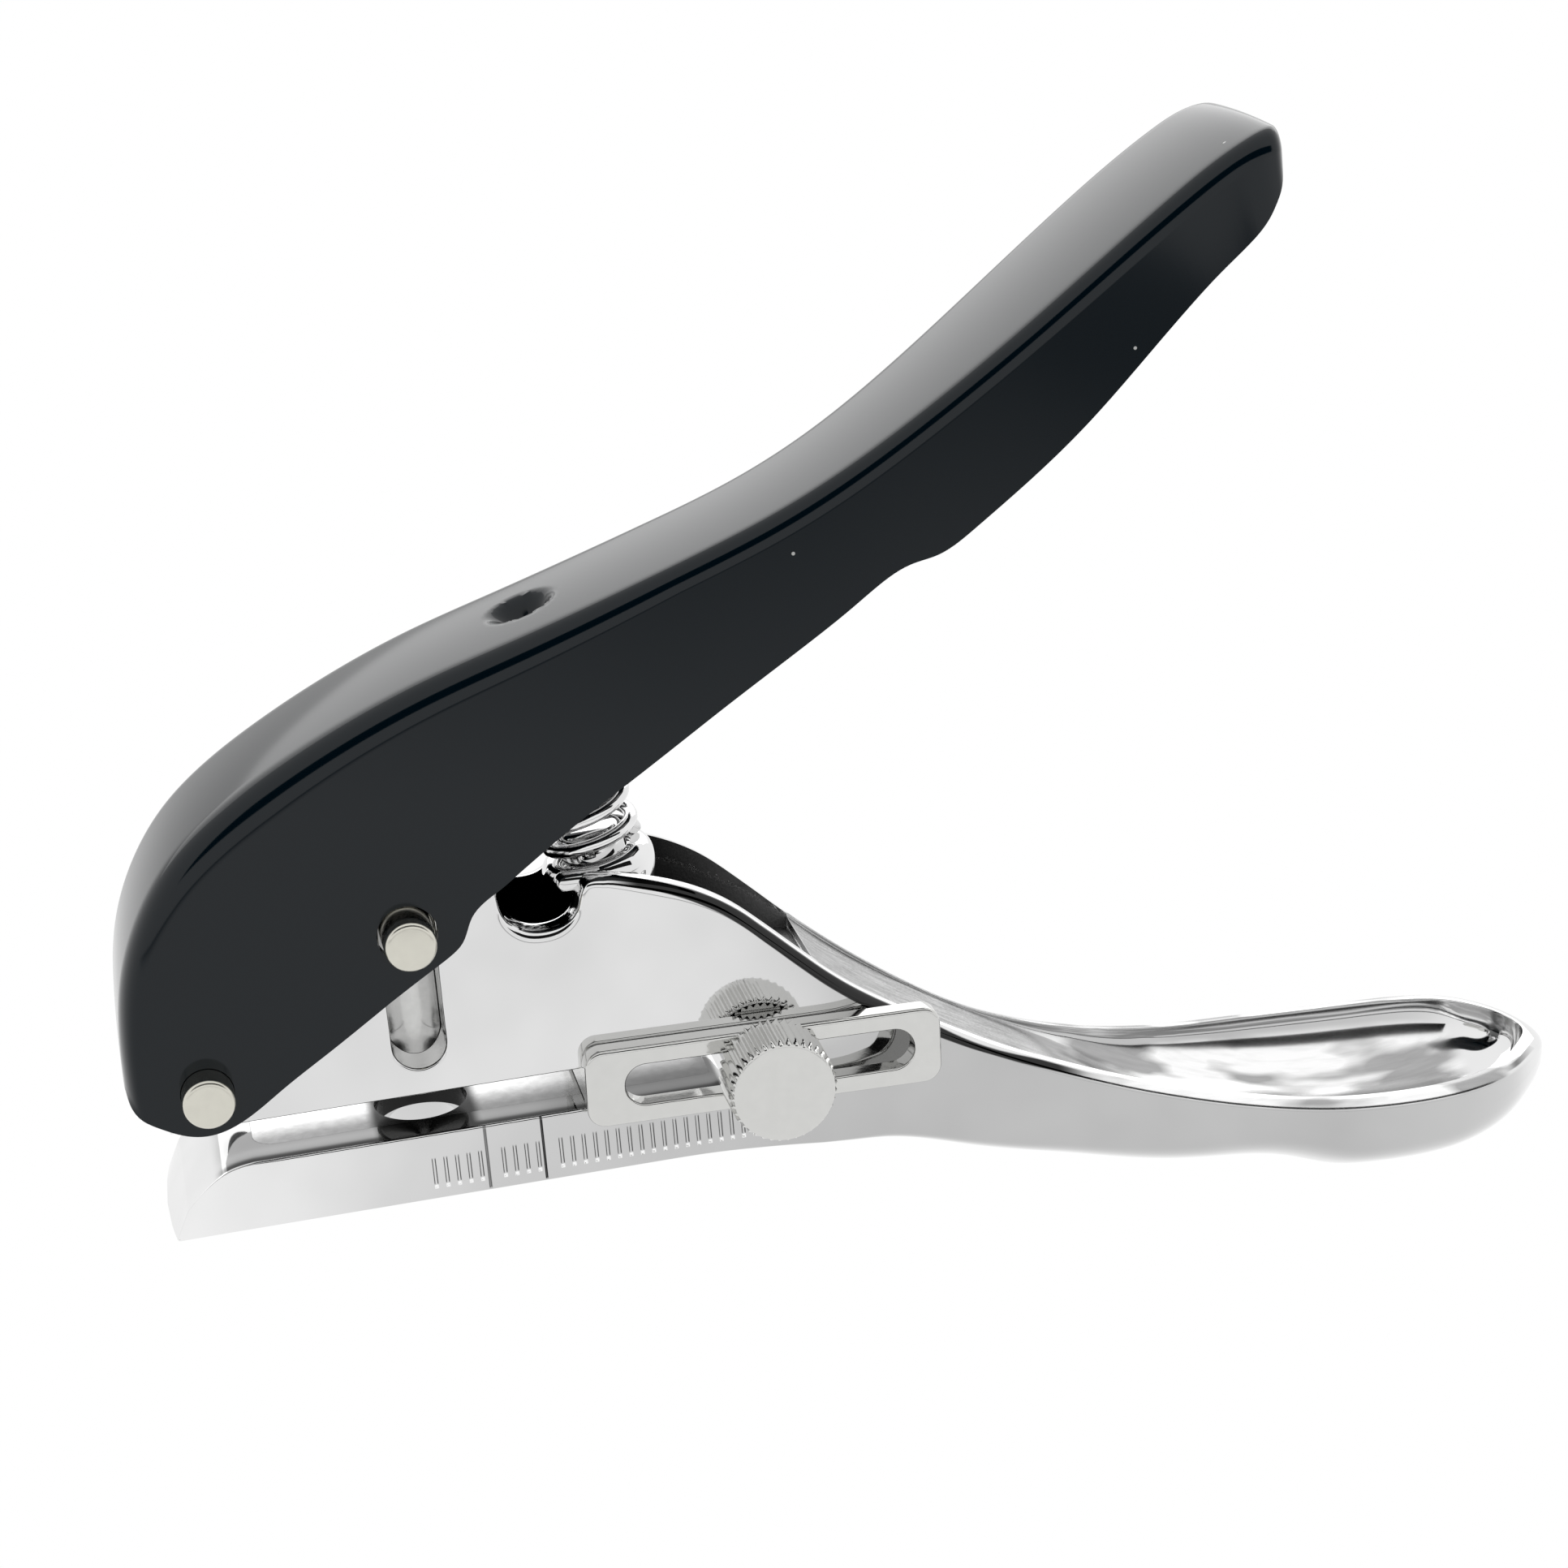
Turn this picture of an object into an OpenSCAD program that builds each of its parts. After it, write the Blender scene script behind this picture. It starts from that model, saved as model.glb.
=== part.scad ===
// Hand-held single hole punch: chromed die-cast frame, enamelled lever, side depth gauge.
// Shapes are drawn in the jaw's own frame: X runs from the nose to the grip with 0 at the punch,
// Y across with 0 at the middle, Z up with 0 at the die face. The stand() module then tilts the
// whole punch so that the toe and the heel rest on the ground.

/* [Frame] */
// Width across the two cheeks and the jaw
frame_w = 15; // [14:0.5:16]
// Height of the throat that takes the paper
throat_h = 3.8; // [3.2:0.1:4.2]
// Distance from the punch to the closed end of the throat
throat_reach = 26.5; // [25:0.5:27]
// Height of the lower jaw under the die face
jaw_h = 6.1; // [5.5:0.1:7]
// Wall thickness of the cheeks beside the spring
cheek_t = 1.8; // [1.5:0.1:2.2]
// Wall thickness of the spoon grip's rim
grip_wall = 1.8; // [1.4:0.1:2.2]

/* [Punch and die] */
// Diameter of the punch
punch_d = 8; // [6:0.5:8]
// Height of the punch's tip above the die face, lever released
punch_gap = 2.3; // [1.5:0.1:3]
// Width of the die plate
die_w = 8.4; // [8.3:0.1:9]
// Thickness of the die plate
die_t = 2.2; // [1.5:0.1:3]

/* [Lever] */
// Wall thickness of the lever
lever_t = 1.3; // [1.2:0.1:1.4]
// Radius of the lever's long top edges
lever_round = 3; // [2.5:0.1:3.2]
// Angle that the lever closes through
close_angle = 14; // [10:1:14]

/* [Pins] */
// Diameter of both cross pins
pin_d = 4.4; // [4:0.1:4.4]
// Length of both cross pins
pin_len = 23.6; // [22.5:0.1:24]
// Bevel at the pins' ends
pin_bevel = 0.3; // [0.1:0.1:0.5]

/* [Spring] */
// Outer diameter of the spring
spring_od = 8.9; // [8:0.1:9.2]
// Diameter of the spring's wire
wire_d = 1.2; // [1:0.1:1.3]
// Number of turns
turns = 8; // [7:1:9]

/* [Depth gauge] */
// Length of the gauge plate
gauge_len = 31.3; // [30:0.1:32]
// Height of the gauge plate
gauge_h = 7; // [6.5:0.1:7.5]
// Thickness of the gauge plate
gauge_t = 2; // [1.6:0.1:2]
// Width of the gauge plate's slot
slot_w = 3.7; // [3.5:0.1:3.9]
// Small angle at which the gauge hangs on its screw
gauge_lean = 1.4; // [0:0.1:1.5]
// Diameter of the thumb screw's knob
knob_d = 9.4; // [8.5:0.1:10]
// Thickness of the thumb screw's knob
knob_t = 5.5; // [5:0.1:6]
// Number of grooves round the knob
knob_grooves = 40; // [30:1:44]
// Diameter of the thumb screw's stud
stud_d = 3; // [2.6:0.1:3]

/* [Hidden] */
$fn = 64;

// Running clearance on a radius, and how far a cut runs past a face
run = 0.05;
past = 1;
half_w = frame_w / 2;

// The front pin's place and the drive pin's place with the lever released
pivot = [-18, 7.8];
drive = [0, 18.9];
// The front pin shifts forward while the drive pin comes straight down
pin_arm = norm(drive - pivot);
rest_angle = atan2(drive[1] - pivot[1], drive[0] - pivot[0]);
pivot_shift = pin_arm * (cos(rest_angle - close_angle) - cos(rest_angle)) + 0.1;
lever_hole_r = pin_d / 2 + 0.35;
lever_hole_lift = 0.2;

// Toe and heel on which the punch stands, in the jaw's frame
toe = [-22.75, -jaw_h];
heel = [82, -17.66];
tilt = atan2(toe[1] - heel[1], heel[0] - toe[0]);
// Moves the origin to the middle of the base
origin_shift = [-39.736, 1.675, 0];

// Thumb screw's place on the near cheek, and the gauge plate's first edge
screw = [29.5, 2.1];
gauge_x = 13.4;
gauge_gap = 0.1;

// Foot and head of the spring, and the lever's dimple
spring_foot = [17.4, 20.7];
spring_head = [13.7, 41];
dimple = [13.2, 43.3];
dimple_lean = 17.3;
dimple_d = 5.8;
dimple_depth = 3.6;
post_d = 9.4;

// Smooth curve through points or rows of any length, with n steps to each span
function at(list, i) = list[max(0, min(len(list) - 1, i))];
function blend(a, b, c, d, t) =
    0.5 * (2 * b + (c - a) * t + (2 * a - 5 * b + 4 * c - d) * t * t
    + (3 * b - a - 3 * c + d) * t * t * t);
function smooth(rows, n) = concat(
    [for (i = [0 : len(rows) - 2], k = [0 : n - 1])
        blend(at(rows, i - 1), rows[i], rows[i + 1], at(rows, i + 2), k / n)],
    [rows[len(rows) - 1]]);
function arc(c, r, a0, a1, n) =
    [for (i = [0 : n]) c + r * [cos(a0 + (a1 - a0) * i / n), sin(a0 + (a1 - a0) * i / n)]];

// Skin over rings of equal length, closed by a fan at each end
module loft(rings) {
    m = len(rings[0]);
    last = (len(rings) - 1) * m;
    polyhedron(
        points = [for (ring = rings, p = ring) p],
        faces = concat(
            [for (i = [1 : m - 2]) [0, i, i + 1]],
            [for (i = [1 : m - 2]) [last, last + i + 1, last + i]],
            [for (r = [0 : len(rings) - 2], i = [0 : m - 1])
                [r * m + i, (r + 1) * m + i, (r + 1) * m + (i + 1) % m]],
            [for (r = [0 : len(rings) - 2], i = [0 : m - 1])
                [r * m + i, (r + 1) * m + (i + 1) % m, r * m + (i + 1) % m]]));
}

// Side outline drawn in X and Z, made w wide across the middle
module slab(w, shift = 0) {
    translate([0, shift + w / 2, 0])
        rotate([90, 0, 0])
            linear_extrude(w) children();
}

// Round bar across the punch, centred on a point of the side view
module cross_bar(p, d, len) {
    translate([p[0], len / 2, p[1]])
        rotate([90, 0, 0])
            cylinder(d = d, h = len);
}

// Cut for a pin that shifts from p to q
module cross_slot(p, q, d, len) {
    run_len = norm(q - p);
    run_angle = atan2(q[1] - p[1], q[0] - p[0]);
    cross_bar(p, d, len);
    cross_bar(q, d, len);
    translate([p[0], 0, p[1]])
        rotate([0, -run_angle, 0])
            translate([0, -len / 2, -d / 2])
                cube([run_len, len, d]);
}

// Places a piece drawn in the jaw's frame on the ground
module stand() {
    translate(origin_shift)
        translate([0, 0, -toe[0] * sin(tilt) - toe[1] * cos(tilt)])
            rotate([0, -tilt, 0])
                children();
}

// Grip: rows of [x, half width, rim height, bottom height, depth of the hollow]
grip_rows = [
    [34, 7.5, 10.2, -6.9, 0.8],
    [38, 7.3, 6.8, -7.6, 0.8],
    [42, 6.8, 3.9, -8.6, 0.8],
    [46, 6.0, 1.2, -9.9, 0.8],
    [51, 5.6, -1.6, -11.7, 0.8],
    [56, 6.0, -4.0, -13.1, 1.2],
    [62, 7.1, -6.1, -14.4, 2.6],
    [68, 8.5, -7.7, -15.4, 4.2],
    [74, 10.1, -8.9, -15.2, 5.0],
    [80, 11.3, -9.7, -17.4, 5.8],
    [86, 11.7, -10.1, -17.7, 6.0],
    [92, 11.3, -10.2, -17.5, 5.8],
    [97, 9.9, -10.0, -16.9, 5.2],
    [101, 7.6, -10.0, -15.9, 4.4],
    [103.4, 4.6, -10.3, -14.6, 3.4],
    [104.4, 1.6, -10.8, -13.6, 2.2]
];
grip_steps = 3;
grip_corner = 0.55;
// The hollow closes in front of the grip's end wall
hollow_end = [
    [99.8, 8.0, -10.0, -16.2, 4.6],
    [101.8, 6.0, -10.1, -15.7, 3.8],
    [102.8, 3.4, -10.3, -14.8, 3.0]
];

// Section of the grip: straight sides with round lower corners, at x
function grip_ring(x, h, top, low, r) = concat(
    [[x, -h, top]],
    [for (p = arc([-h + r, low + r], r, 180, 270, 6)) [x, p[0], p[1]]],
    [for (p = arc([h - r, low + r], r, 270, 360, 6)) [x, p[0], p[1]]],
    [[x, h, top]]);

module grip_body() {
    loft([for (s = smooth(grip_rows, grip_steps))
        grip_ring(s[0], s[1], s[2], s[3], min(s[1], s[2] - s[3]) * grip_corner)]);
}

// Hollow of the spoon, with its floor rising to a shallow channel at the waist
module grip_hollow() {
    rows = smooth(concat([for (s = grip_rows) if (s[0] < 101) s], hollow_end), grip_steps);
    loft([for (s = rows)
        grip_ring(s[0], s[1] - grip_wall, s[2] + past * 3, s[2] - s[4],
            min(s[1] - grip_wall, s[4] + 0.2) * 0.7)]);
}

// Side outline of the head, the cheeks and the lower jaw
nose_wall = 0.7;
cheek_top = [[16.4, 20.7], [20.7, 19.9], [25.4, 17.5], [29.5, 14.4], [34, 10.2]];
module cheek_outline() {
    polygon(concat(
        [[-12, throat_h], [-21.5, throat_h]],
        arc(pivot + [-pivot_shift, 0], pin_d / 2 + nose_wall, 200, 110, 6),
        arc([-3.6, 22], 2, 130, 90, 3),
        arc([6.3, 22], 2, 90, 0, 4),
        arc([11.3, 20], 3, 180, 360, 12),
        arc([16.3, 19.4], 1.3, 170, 90, 3),
        smooth(cheek_top, 3),
        [[35, 9.2], [35, -6.9]],
        smooth([[34, -6.9], [28, -6.3], [20, -jaw_h]], 3),
        [[-12, -jaw_h]]));
}

// Lower jaw ahead of the head, with its beak bowed in plan
beak_r = 51;
module jaw_front() {
    intersection() {
        slab(frame_w)
            polygon(concat(
                [[-22.75, -jaw_h], [-22.6, -5.8]],
                smooth([[-21.05, -3.45], [-20.4, -2.75], [-18.7, -1.25], [-17, -0.35], [-15, 0]], 3),
                [[-11, 0], [-11, -jaw_h]]));
        translate([beak_r - 22.75, 0, -jaw_h])
            cylinder(r = beak_r, h = jaw_h, $fn = 256);
    }
}

module throat_cut() {
    slab(frame_w + 2 * past) {
        translate([-30, 0])
            square([30 + throat_reach - 1, throat_h]);
        translate([throat_reach - 1, throat_h / 2])
            circle(d = throat_h);
    }
}

// Space between the cheeks round the spring post
module spring_well() {
    slab(frame_w - 2 * cheek_t)
        polygon([[5.6, 24.5], [5.6, 10], [7, 8.5], [30, 8.5], [34.5, 10.3], [30, 24.5]]);
}

// Post under the spring: round shoulder, and a spigot inside the first turns
shoulder_r = 2.2;
module spring_post() {
    spigot_r = spring_od / 2 - wire_d - 0.25;
    translate([spring_foot[0], 0, 0])
        rotate_extrude()
            polygon(concat(
                [[0, 8], [post_d / 2, 8]],
                arc([post_d / 2 - shoulder_r, spring_foot[1] - shoulder_r], shoulder_r, 0, 90, 5),
                [[spigot_r, spring_foot[1]], [spigot_r, spring_foot[1] + 1.6]],
                [[spigot_r - 0.4, spring_foot[1] + 2], [0, spring_foot[1] + 2]]));
}

module frame() {
    color("gainsboro") stand()
        difference() {
            union() {
                difference() {
                    union() {
                        slab(frame_w) cheek_outline();
                        jaw_front();
                        grip_body();
                    }
                    throat_cut();
                    spring_well();
                    grip_hollow();
                }
                spring_post();
            }
            cylinder(d = punch_d + 2 * run, h = 40);
            translate([0, 0, -jaw_h - past])
                cylinder(d = punch_d + 1, h = jaw_h + past);
            translate([0, 0, -die_t])
                linear_extrude(die_t + past) die_outline();
            cross_slot([0, 6.2 + pin_d / 2], drive, pin_d + 2 * run, frame_w + 2 * past);
            cross_slot(pivot - [pivot_shift, 0], pivot, pin_d + 2 * run, frame_w + 2 * past);
            translate([screw[0], -half_w - past, screw[1]])
                rotate([-90, 0, 0])
                    cylinder(d = stud_d + 0.04, h = 8 + past);
        }
}

// Plan outline of the die plate, with round front corners
die_front = -14.8;
module die_outline() {
    hw = die_w / 2;
    polygon(concat(
        arc([die_front + 2, -hw + 2], 2, 180, 270, 5),
        [[throat_reach - 1.5, -hw], [throat_reach - 1.5, hw]],
        arc([die_front + 2, hw - 2], 2, 90, 180, 5)));
}

module die_plate() {
    color("silver") stand()
        difference() {
            translate([0, 0, -die_t])
                linear_extrude(die_t) die_outline();
            translate([0, 0, -die_t - past])
                cylinder(d = punch_d + 0.12, h = die_t + 2 * past);
        }
}

// Lever: rows of [top x, top z, lower x, lower z, half width]; the lower points lie
// beyond the edge, which lever_edge() then cuts to shape
lever_rows = [
    [-24.7, 7.6, -22.5, 2.5, 9.2],
    [-24.6, 12, -20, 1.5, 9.2],
    [-23.7, 18, -17.5, 1, 9.2],
    [-21.4, 23.8, -14.5, 2, 9.2],
    [-16.6, 29.8, -10, 4.5, 9.2],
    [-8.5, 35, -4, 8.5, 9.2],
    [0.6, 39.2, 4, 14, 9.2],
    [11.2, 42.7, 15, 22, 9.1],
    [22, 46.2, 25.5, 28, 8.8],
    [33, 50.1, 37.5, 34, 8.4],
    [41, 54, 46, 40, 8.7],
    [52, 61.3, 56.5, 46, 9.6],
    [60.5, 67.3, 64.5, 54, 10.2],
    [68, 73, 72, 61, 10.1],
    [73.5, 76.3, 76.5, 65.5, 9.2],
    [77.5, 77.4, 79, 68, 7.0],
    [79.8, 77.1, 80, 69.5, 4.4],
    [80.6, 76.3, 80.4, 70.5, 1.6]
];
lever_steps = 3;
arc_steps = 5;

// Section of the lever from its lower corner over the round top edges, r in along the slope
function lever_ring(s, t, lift, drop) =
    let (top = [s[0], s[1]], low = [s[2], s[3]], span = norm(top - low), up = (top - low) / span,
         h = s[4] - t, r = min(lever_round - t, h * 0.9, span * 0.4), head = top + up * lift,
         foot = low - up * drop)
    concat(
        [[foot[0], h, foot[1]]],
        [for (i = [0 : arc_steps]) let (a = 90 * i / arc_steps, q = head - up * (r - r * sin(a)))
            [q[0], h - r + r * cos(a), q[1]]],
        [for (i = [0 : arc_steps]) let (a = 90 - 90 * i / arc_steps, q = head - up * (r - r * sin(a)))
            [q[0], -h + r - r * cos(a), q[1]]],
        [[foot[0], -h, foot[1]]]);

// Rows moved in by the wall, square to the top line
function inward(rows, t) = [for (i = [0 : len(rows) - 1])
    let (d = at(rows, i + 1) - at(rows, i - 1), run_dir = [d[0], d[1]] / norm([d[0], d[1]]),
         n = [run_dir[1], -run_dir[0]], s = rows[i])
    [s[0] + n[0] * t, s[1] + n[1] * t, s[2] + n[0] * t, s[3] + n[1] * t, s[4]]];

module lever_skin() {
    loft([for (s = smooth(lever_rows, lever_steps)) lever_ring(s, 0, 0, 0)]);
}

module lever_hollow() {
    rows = [for (s = smooth(lever_rows, lever_steps)) if (s[0] < 78.6 && s[4] > 4.5) s];
    loft([for (s = inward(rows, lever_t)) lever_ring(s, lever_t, 0, 4)]);
}

// Everything below the lever's lower edge, seen from the side
module lever_edge() {
    slab(24)
        polygon(concat(
            [[-40, 8.4], [-24.6, 8.4]],
            smooth([[-24.6, 8.4], [-23.5, 6.2], [-20.5, 4.4], [-18, 4], [-15, 5]], 3),
            [[1.9, 15.7]],
            smooth([[3.5, 16.8], [4.9, 18.6], [6, 20.5], [8.1, 22]], 3),
            [[21.5, 30.6], [36, 39.2], [39.6, 41.5]],
            smooth([[41.9, 43.2], [44.6, 44.7], [47.4, 45.3], [50.4, 47.1]], 2),
            [[57.4, 52.5], [67.9, 62.2], [74, 67.5]],
            smooth([[75.5, 68.6], [77.5, 70.1], [79, 72], [84, 73.5]], 2),
            [[84, -20], [-40, -20]]));
}

module dimple_cone(grow) {
    translate([dimple[0], 0, dimple[1]])
        rotate([0, -dimple_lean, 0])
            translate([0, 0, -dimple_depth - grow])
                cylinder(d1 = 2 + 2 * grow, d2 = dimple_d + 1.2 + 2 * grow,
                    h = dimple_depth + 1.2 + grow);
}

module lever() {
    color([0.13, 0.16, 0.18]) stand()
        difference() {
            union() {
                difference() {
                    lever_skin();
                    lever_hollow();
                    lever_edge();
                }
                intersection() {
                    dimple_cone(0.7);
                    lever_skin();
                }
            }
            dimple_cone(0);
            cross_bar(pivot, pin_d + 2 * run, 30);
            cross_bar(drive + [0, lever_hole_lift], 2 * lever_hole_r, 30);
        }
}

// Plain pin with bevelled ends
module cross_pin(p) {
    translate([p[0], 0, p[1]])
        rotate([90, 0, 0])
            rotate_extrude()
                polygon([
                    [0, -pin_len / 2],
                    [pin_d / 2 - pin_bevel, -pin_len / 2],
                    [pin_d / 2, -pin_len / 2 + pin_bevel],
                    [pin_d / 2, pin_len / 2 - pin_bevel],
                    [pin_d / 2 - pin_bevel, pin_len / 2],
                    [0, pin_len / 2]]);
}

module pivot_pin() {
    color("silver") stand() cross_pin(pivot);
}

module drive_pin() {
    color("silver") stand() cross_pin(drive);
}

// Punch: ground cup in the tip, a neck ring and a cross hole for the drive pin
punch_top = 24.6;
module punch() {
    color("lightgray") stand()
        difference() {
            rotate_extrude()
                polygon([
                    [0, punch_gap + 1.1],
                    [punch_d / 2 - 0.3, punch_gap],
                    [punch_d / 2, punch_gap],
                    [punch_d / 2, punch_top - 0.6],
                    [punch_d / 2 - 0.6, punch_top],
                    [0, punch_top]]);
            cross_bar(drive, pin_d + 0.02, frame_w);
        }
}

// Spring: one round wire wound along its axis, close at both ends, as one unbroken tube
spring_axis = spring_head - spring_foot;
spring_len = norm(spring_axis);
spring_lean = atan2(-spring_axis[0], spring_axis[1]);
wire_steps = 8;
close_pitch = wire_d + 0.45;
coil_r = (spring_od - wire_d) / 2;
open_turns = turns - 2;
open_pitch = (spring_len - wire_d - 2 * close_pitch) / open_turns;
function wire_rise(t) =
    t < 1 ? close_pitch * t
    : t > turns - 1 ? close_pitch + open_pitch * open_turns + close_pitch * (t - turns + 1)
    : close_pitch + open_pitch * (t - 1);
function wire_point(t) =
    [coil_r * cos(360 * t), coil_r * sin(360 * t), wire_d / 2 + wire_rise(t)];
wire_line = [for (i = [0 : turns * wire_steps]) wire_point(i / wire_steps)];
function wire_ring(p, d) =
    let (f = d / norm(d), side = cross(f, [0, 0, 1]) / norm(cross(f, [0, 0, 1])), up = cross(side, f))
    [for (k = [0 : 5]) p + wire_d / 2 * (side * cos(60 * k) + up * sin(60 * k))];
// Straight ends, one wire diameter long, square to the first and last ring
first_dir = wire_line[1] - wire_line[0];
last_dir = wire_line[len(wire_line) - 1] - wire_line[len(wire_line) - 2];
wire_path = concat(
    [wire_line[0] - wire_d * first_dir / norm(first_dir)],
    wire_line,
    [wire_line[len(wire_line) - 1] + wire_d * last_dir / norm(last_dir)]);
spring_gap = min([for (i = [0 : len(wire_path) - 1], j = [i + wire_steps - 3 : 1 : len(wire_path) - 1])
    norm(wire_path[i] - wire_path[j])]) - wire_d;
echo(spring_least_gap = spring_gap);

module return_spring() {
    color("white") stand()
        translate([spring_foot[0], 0, spring_foot[1]])
            rotate([0, -spring_lean, 0])
                loft([for (i = [0 : len(wire_path) - 1])
                    wire_ring(wire_path[i], at(wire_path, i + 1) - at(wire_path, i - 1))]);
}

// Depth gauge: slotted plate outside the near cheek and a lip turned into the throat
gauge_y = -half_w - gauge_gap - gauge_t;
gauge_corner = 1.6;
slot_from = 3.4;
slot_len = 25.5;
lip_t = 1.3;
lip_h = throat_h - 0.7;
module gauge_outline() {
    difference() {
        hull() {
            for (x = [gauge_corner, gauge_len - gauge_corner], z = [-1, 1])
                translate([x, z * (gauge_h / 2 - gauge_corner)])
                    circle(r = gauge_corner, $fn = 32);
        }
        translate([slot_from + slot_w / 2, 0])
            circle(d = slot_w);
        translate([slot_from + slot_len - slot_w / 2, 0])
            circle(d = slot_w);
        translate([slot_from + slot_w / 2, -slot_w / 2])
            square([slot_len - slot_w, slot_w]);
    }
}

module gauge_plate() {
    color("silver") stand() {
        translate([screw[0], 0, screw[1]])
            rotate([0, gauge_lean, 0])
                translate([gauge_x - screw[0], gauge_y + gauge_t, 0])
                    rotate([90, 0, 0])
                        linear_extrude(gauge_t) gauge_outline();
        translate([gauge_x + 0.1, gauge_y + gauge_t - 0.2, 0.3])
            cube([lip_t, frame_w - 1, lip_h]);
    }
}

// Thumb screw: grooved knob outside the gauge, stud through its slot into the cheek
knob_y = gauge_y - 0.05;
groove_d = 0.5;
stud_len = 6;
module knob_profile() {
    polygon([
        [0, 0], [knob_d / 2 - 0.5, 0], [knob_d / 2, 0.5],
        [knob_d / 2, knob_t - 0.35], [knob_d / 2 - 0.35, knob_t], [0, knob_t]]);
}

module thumb_screw() {
    color("silver") stand()
        translate([screw[0], knob_y, screw[1]])
            rotate([90, 0, 0]) {
                difference() {
                    rotate_extrude() knob_profile();
                    for (i = [0 : knob_grooves - 1])
                        rotate([0, 0, i * 360 / knob_grooves])
                            translate([knob_d / 2 + 0.05, 0, -past])
                                cylinder(d = groove_d, h = knob_t - 0.1, $fn = 4);
                }
                translate([0, 0, -gauge_t - gauge_gap - stud_len])
                    cylinder(d = stud_d, h = gauge_t + gauge_gap + stud_len + past);
            }
}

frame();
die_plate();
lever();
pivot_pin();
drive_pin();
punch();
return_spring();
gauge_plate();
thumb_screw();
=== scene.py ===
"""Single hole punch: the dressed model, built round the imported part.

Shapes are drawn in millimetres in the jaw's own frame: X from the nose to the grip with 0 at the
punch, Y across with 0 at the middle, Z up with 0 at the die face. stand() tilts them on to the
ground and turns them into metres.
"""
import math

import bmesh
import bpy
import numpy as np
from mathutils import Matrix, Vector


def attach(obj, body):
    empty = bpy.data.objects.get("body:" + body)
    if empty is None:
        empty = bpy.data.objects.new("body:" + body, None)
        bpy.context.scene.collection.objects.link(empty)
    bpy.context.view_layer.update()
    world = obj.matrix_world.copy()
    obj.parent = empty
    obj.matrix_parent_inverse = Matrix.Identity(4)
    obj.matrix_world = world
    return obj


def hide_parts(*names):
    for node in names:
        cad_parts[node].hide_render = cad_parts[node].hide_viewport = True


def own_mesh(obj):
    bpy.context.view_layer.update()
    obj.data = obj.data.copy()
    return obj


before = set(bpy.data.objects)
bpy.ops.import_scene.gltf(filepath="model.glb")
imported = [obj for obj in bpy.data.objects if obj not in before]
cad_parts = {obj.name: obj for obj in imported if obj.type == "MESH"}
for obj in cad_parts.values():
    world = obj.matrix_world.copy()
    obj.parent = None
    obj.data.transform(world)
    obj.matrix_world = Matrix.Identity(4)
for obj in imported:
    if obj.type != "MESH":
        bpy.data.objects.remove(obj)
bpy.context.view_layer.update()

# Where the punch stands
TOE, HEEL = (-22.75, -6.1), (82.0, -17.66)      # where it touches the ground, in the jaw's frame
TILT = math.atan2(TOE[1] - HEEL[1], HEEL[0] - TOE[0])
SHIFT_X, SHIFT_Y = -39.736, 1.675               # from the jaw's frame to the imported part's
LIFT = -TOE[0] * math.sin(TILT) - TOE[1] * math.cos(TILT)
METRES = 0.001                                  # one millimetre, in metres
STAND = Matrix.Translation((SHIFT_X, SHIFT_Y, LIFT)) @ Matrix.Rotation(-TILT, 4, "Y")


def stand(points):
    """Points of the jaw's frame in millimetres, tilted by TILT about Y, lifted, and in metres."""
    turn = np.array(STAND.to_3x3())
    return (np.asarray(points, float) @ turn.T + np.array(STAND.translation)) * METRES


# Curves
def cubic(x, y, q):
    """Natural cubic spline through (x, y), read at q; y may have several columns."""
    x, y, q = np.asarray(x, float), np.asarray(y, float), np.asarray(q, float)
    flat = y.ndim == 1
    y = y.reshape(len(x), -1)
    n = len(x)
    h = np.diff(x)
    a = np.eye(n)
    b = np.zeros_like(y)
    for i in range(1, n - 1):
        a[i, i - 1:i + 2] = h[i - 1], 2 * (h[i - 1] + h[i]), h[i]
        b[i] = 6 * ((y[i + 1] - y[i]) / h[i] - (y[i] - y[i - 1]) / h[i - 1])
    m = np.linalg.solve(a, b)
    k = np.clip(np.searchsorted(x, q, side="right") - 1, 0, n - 2)
    t = (q - x[k])[:, None]
    hk = h[k][:, None]
    s = hk - t
    out = (m[k] * s ** 3 + m[k + 1] * t ** 3) / (6 * hk) \
        + (y[k] / hk - m[k] * hk / 6) * s + (y[k + 1] / hk - m[k + 1] * hk / 6) * t
    return out[:, 0] if flat else out


def through(points, step):
    """Points every step millimetres along a natural cubic spline through the given ones."""
    p = np.asarray(points, float)
    d = np.r_[0, np.cumsum(np.linalg.norm(np.diff(p, axis=0), axis=1))]
    n = max(2, int(round(d[-1] / step)) + 1)
    return cubic(d, p, np.linspace(0, d[-1], n))


def straight(a, b, step):
    """Points from a to b on a line."""
    a, b = np.asarray(a, float), np.asarray(b, float)
    n = max(2, int(round(np.linalg.norm(b - a) / step)) + 1)
    return a + (b - a) * np.linspace(0, 1, n)[:, None]


def arc(centre, r, a0, a1, n):
    """Points on a circle from angle a0 to a1, in degrees."""
    a = np.radians(np.linspace(a0, a1, n))
    return np.asarray(centre, float) + r * np.c_[np.cos(a), np.sin(a)]


def path(*parts):
    """Stretches joined into one line, with repeated points dropped."""
    p = np.vstack(parts)
    return p[fresh(p, 1e-4)]


def fresh(p, gap):
    """True for each point of a line that lies more than gap from the one before."""
    return np.r_[True, np.linalg.norm(np.diff(p, axis=0), axis=1) > gap]


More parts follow.
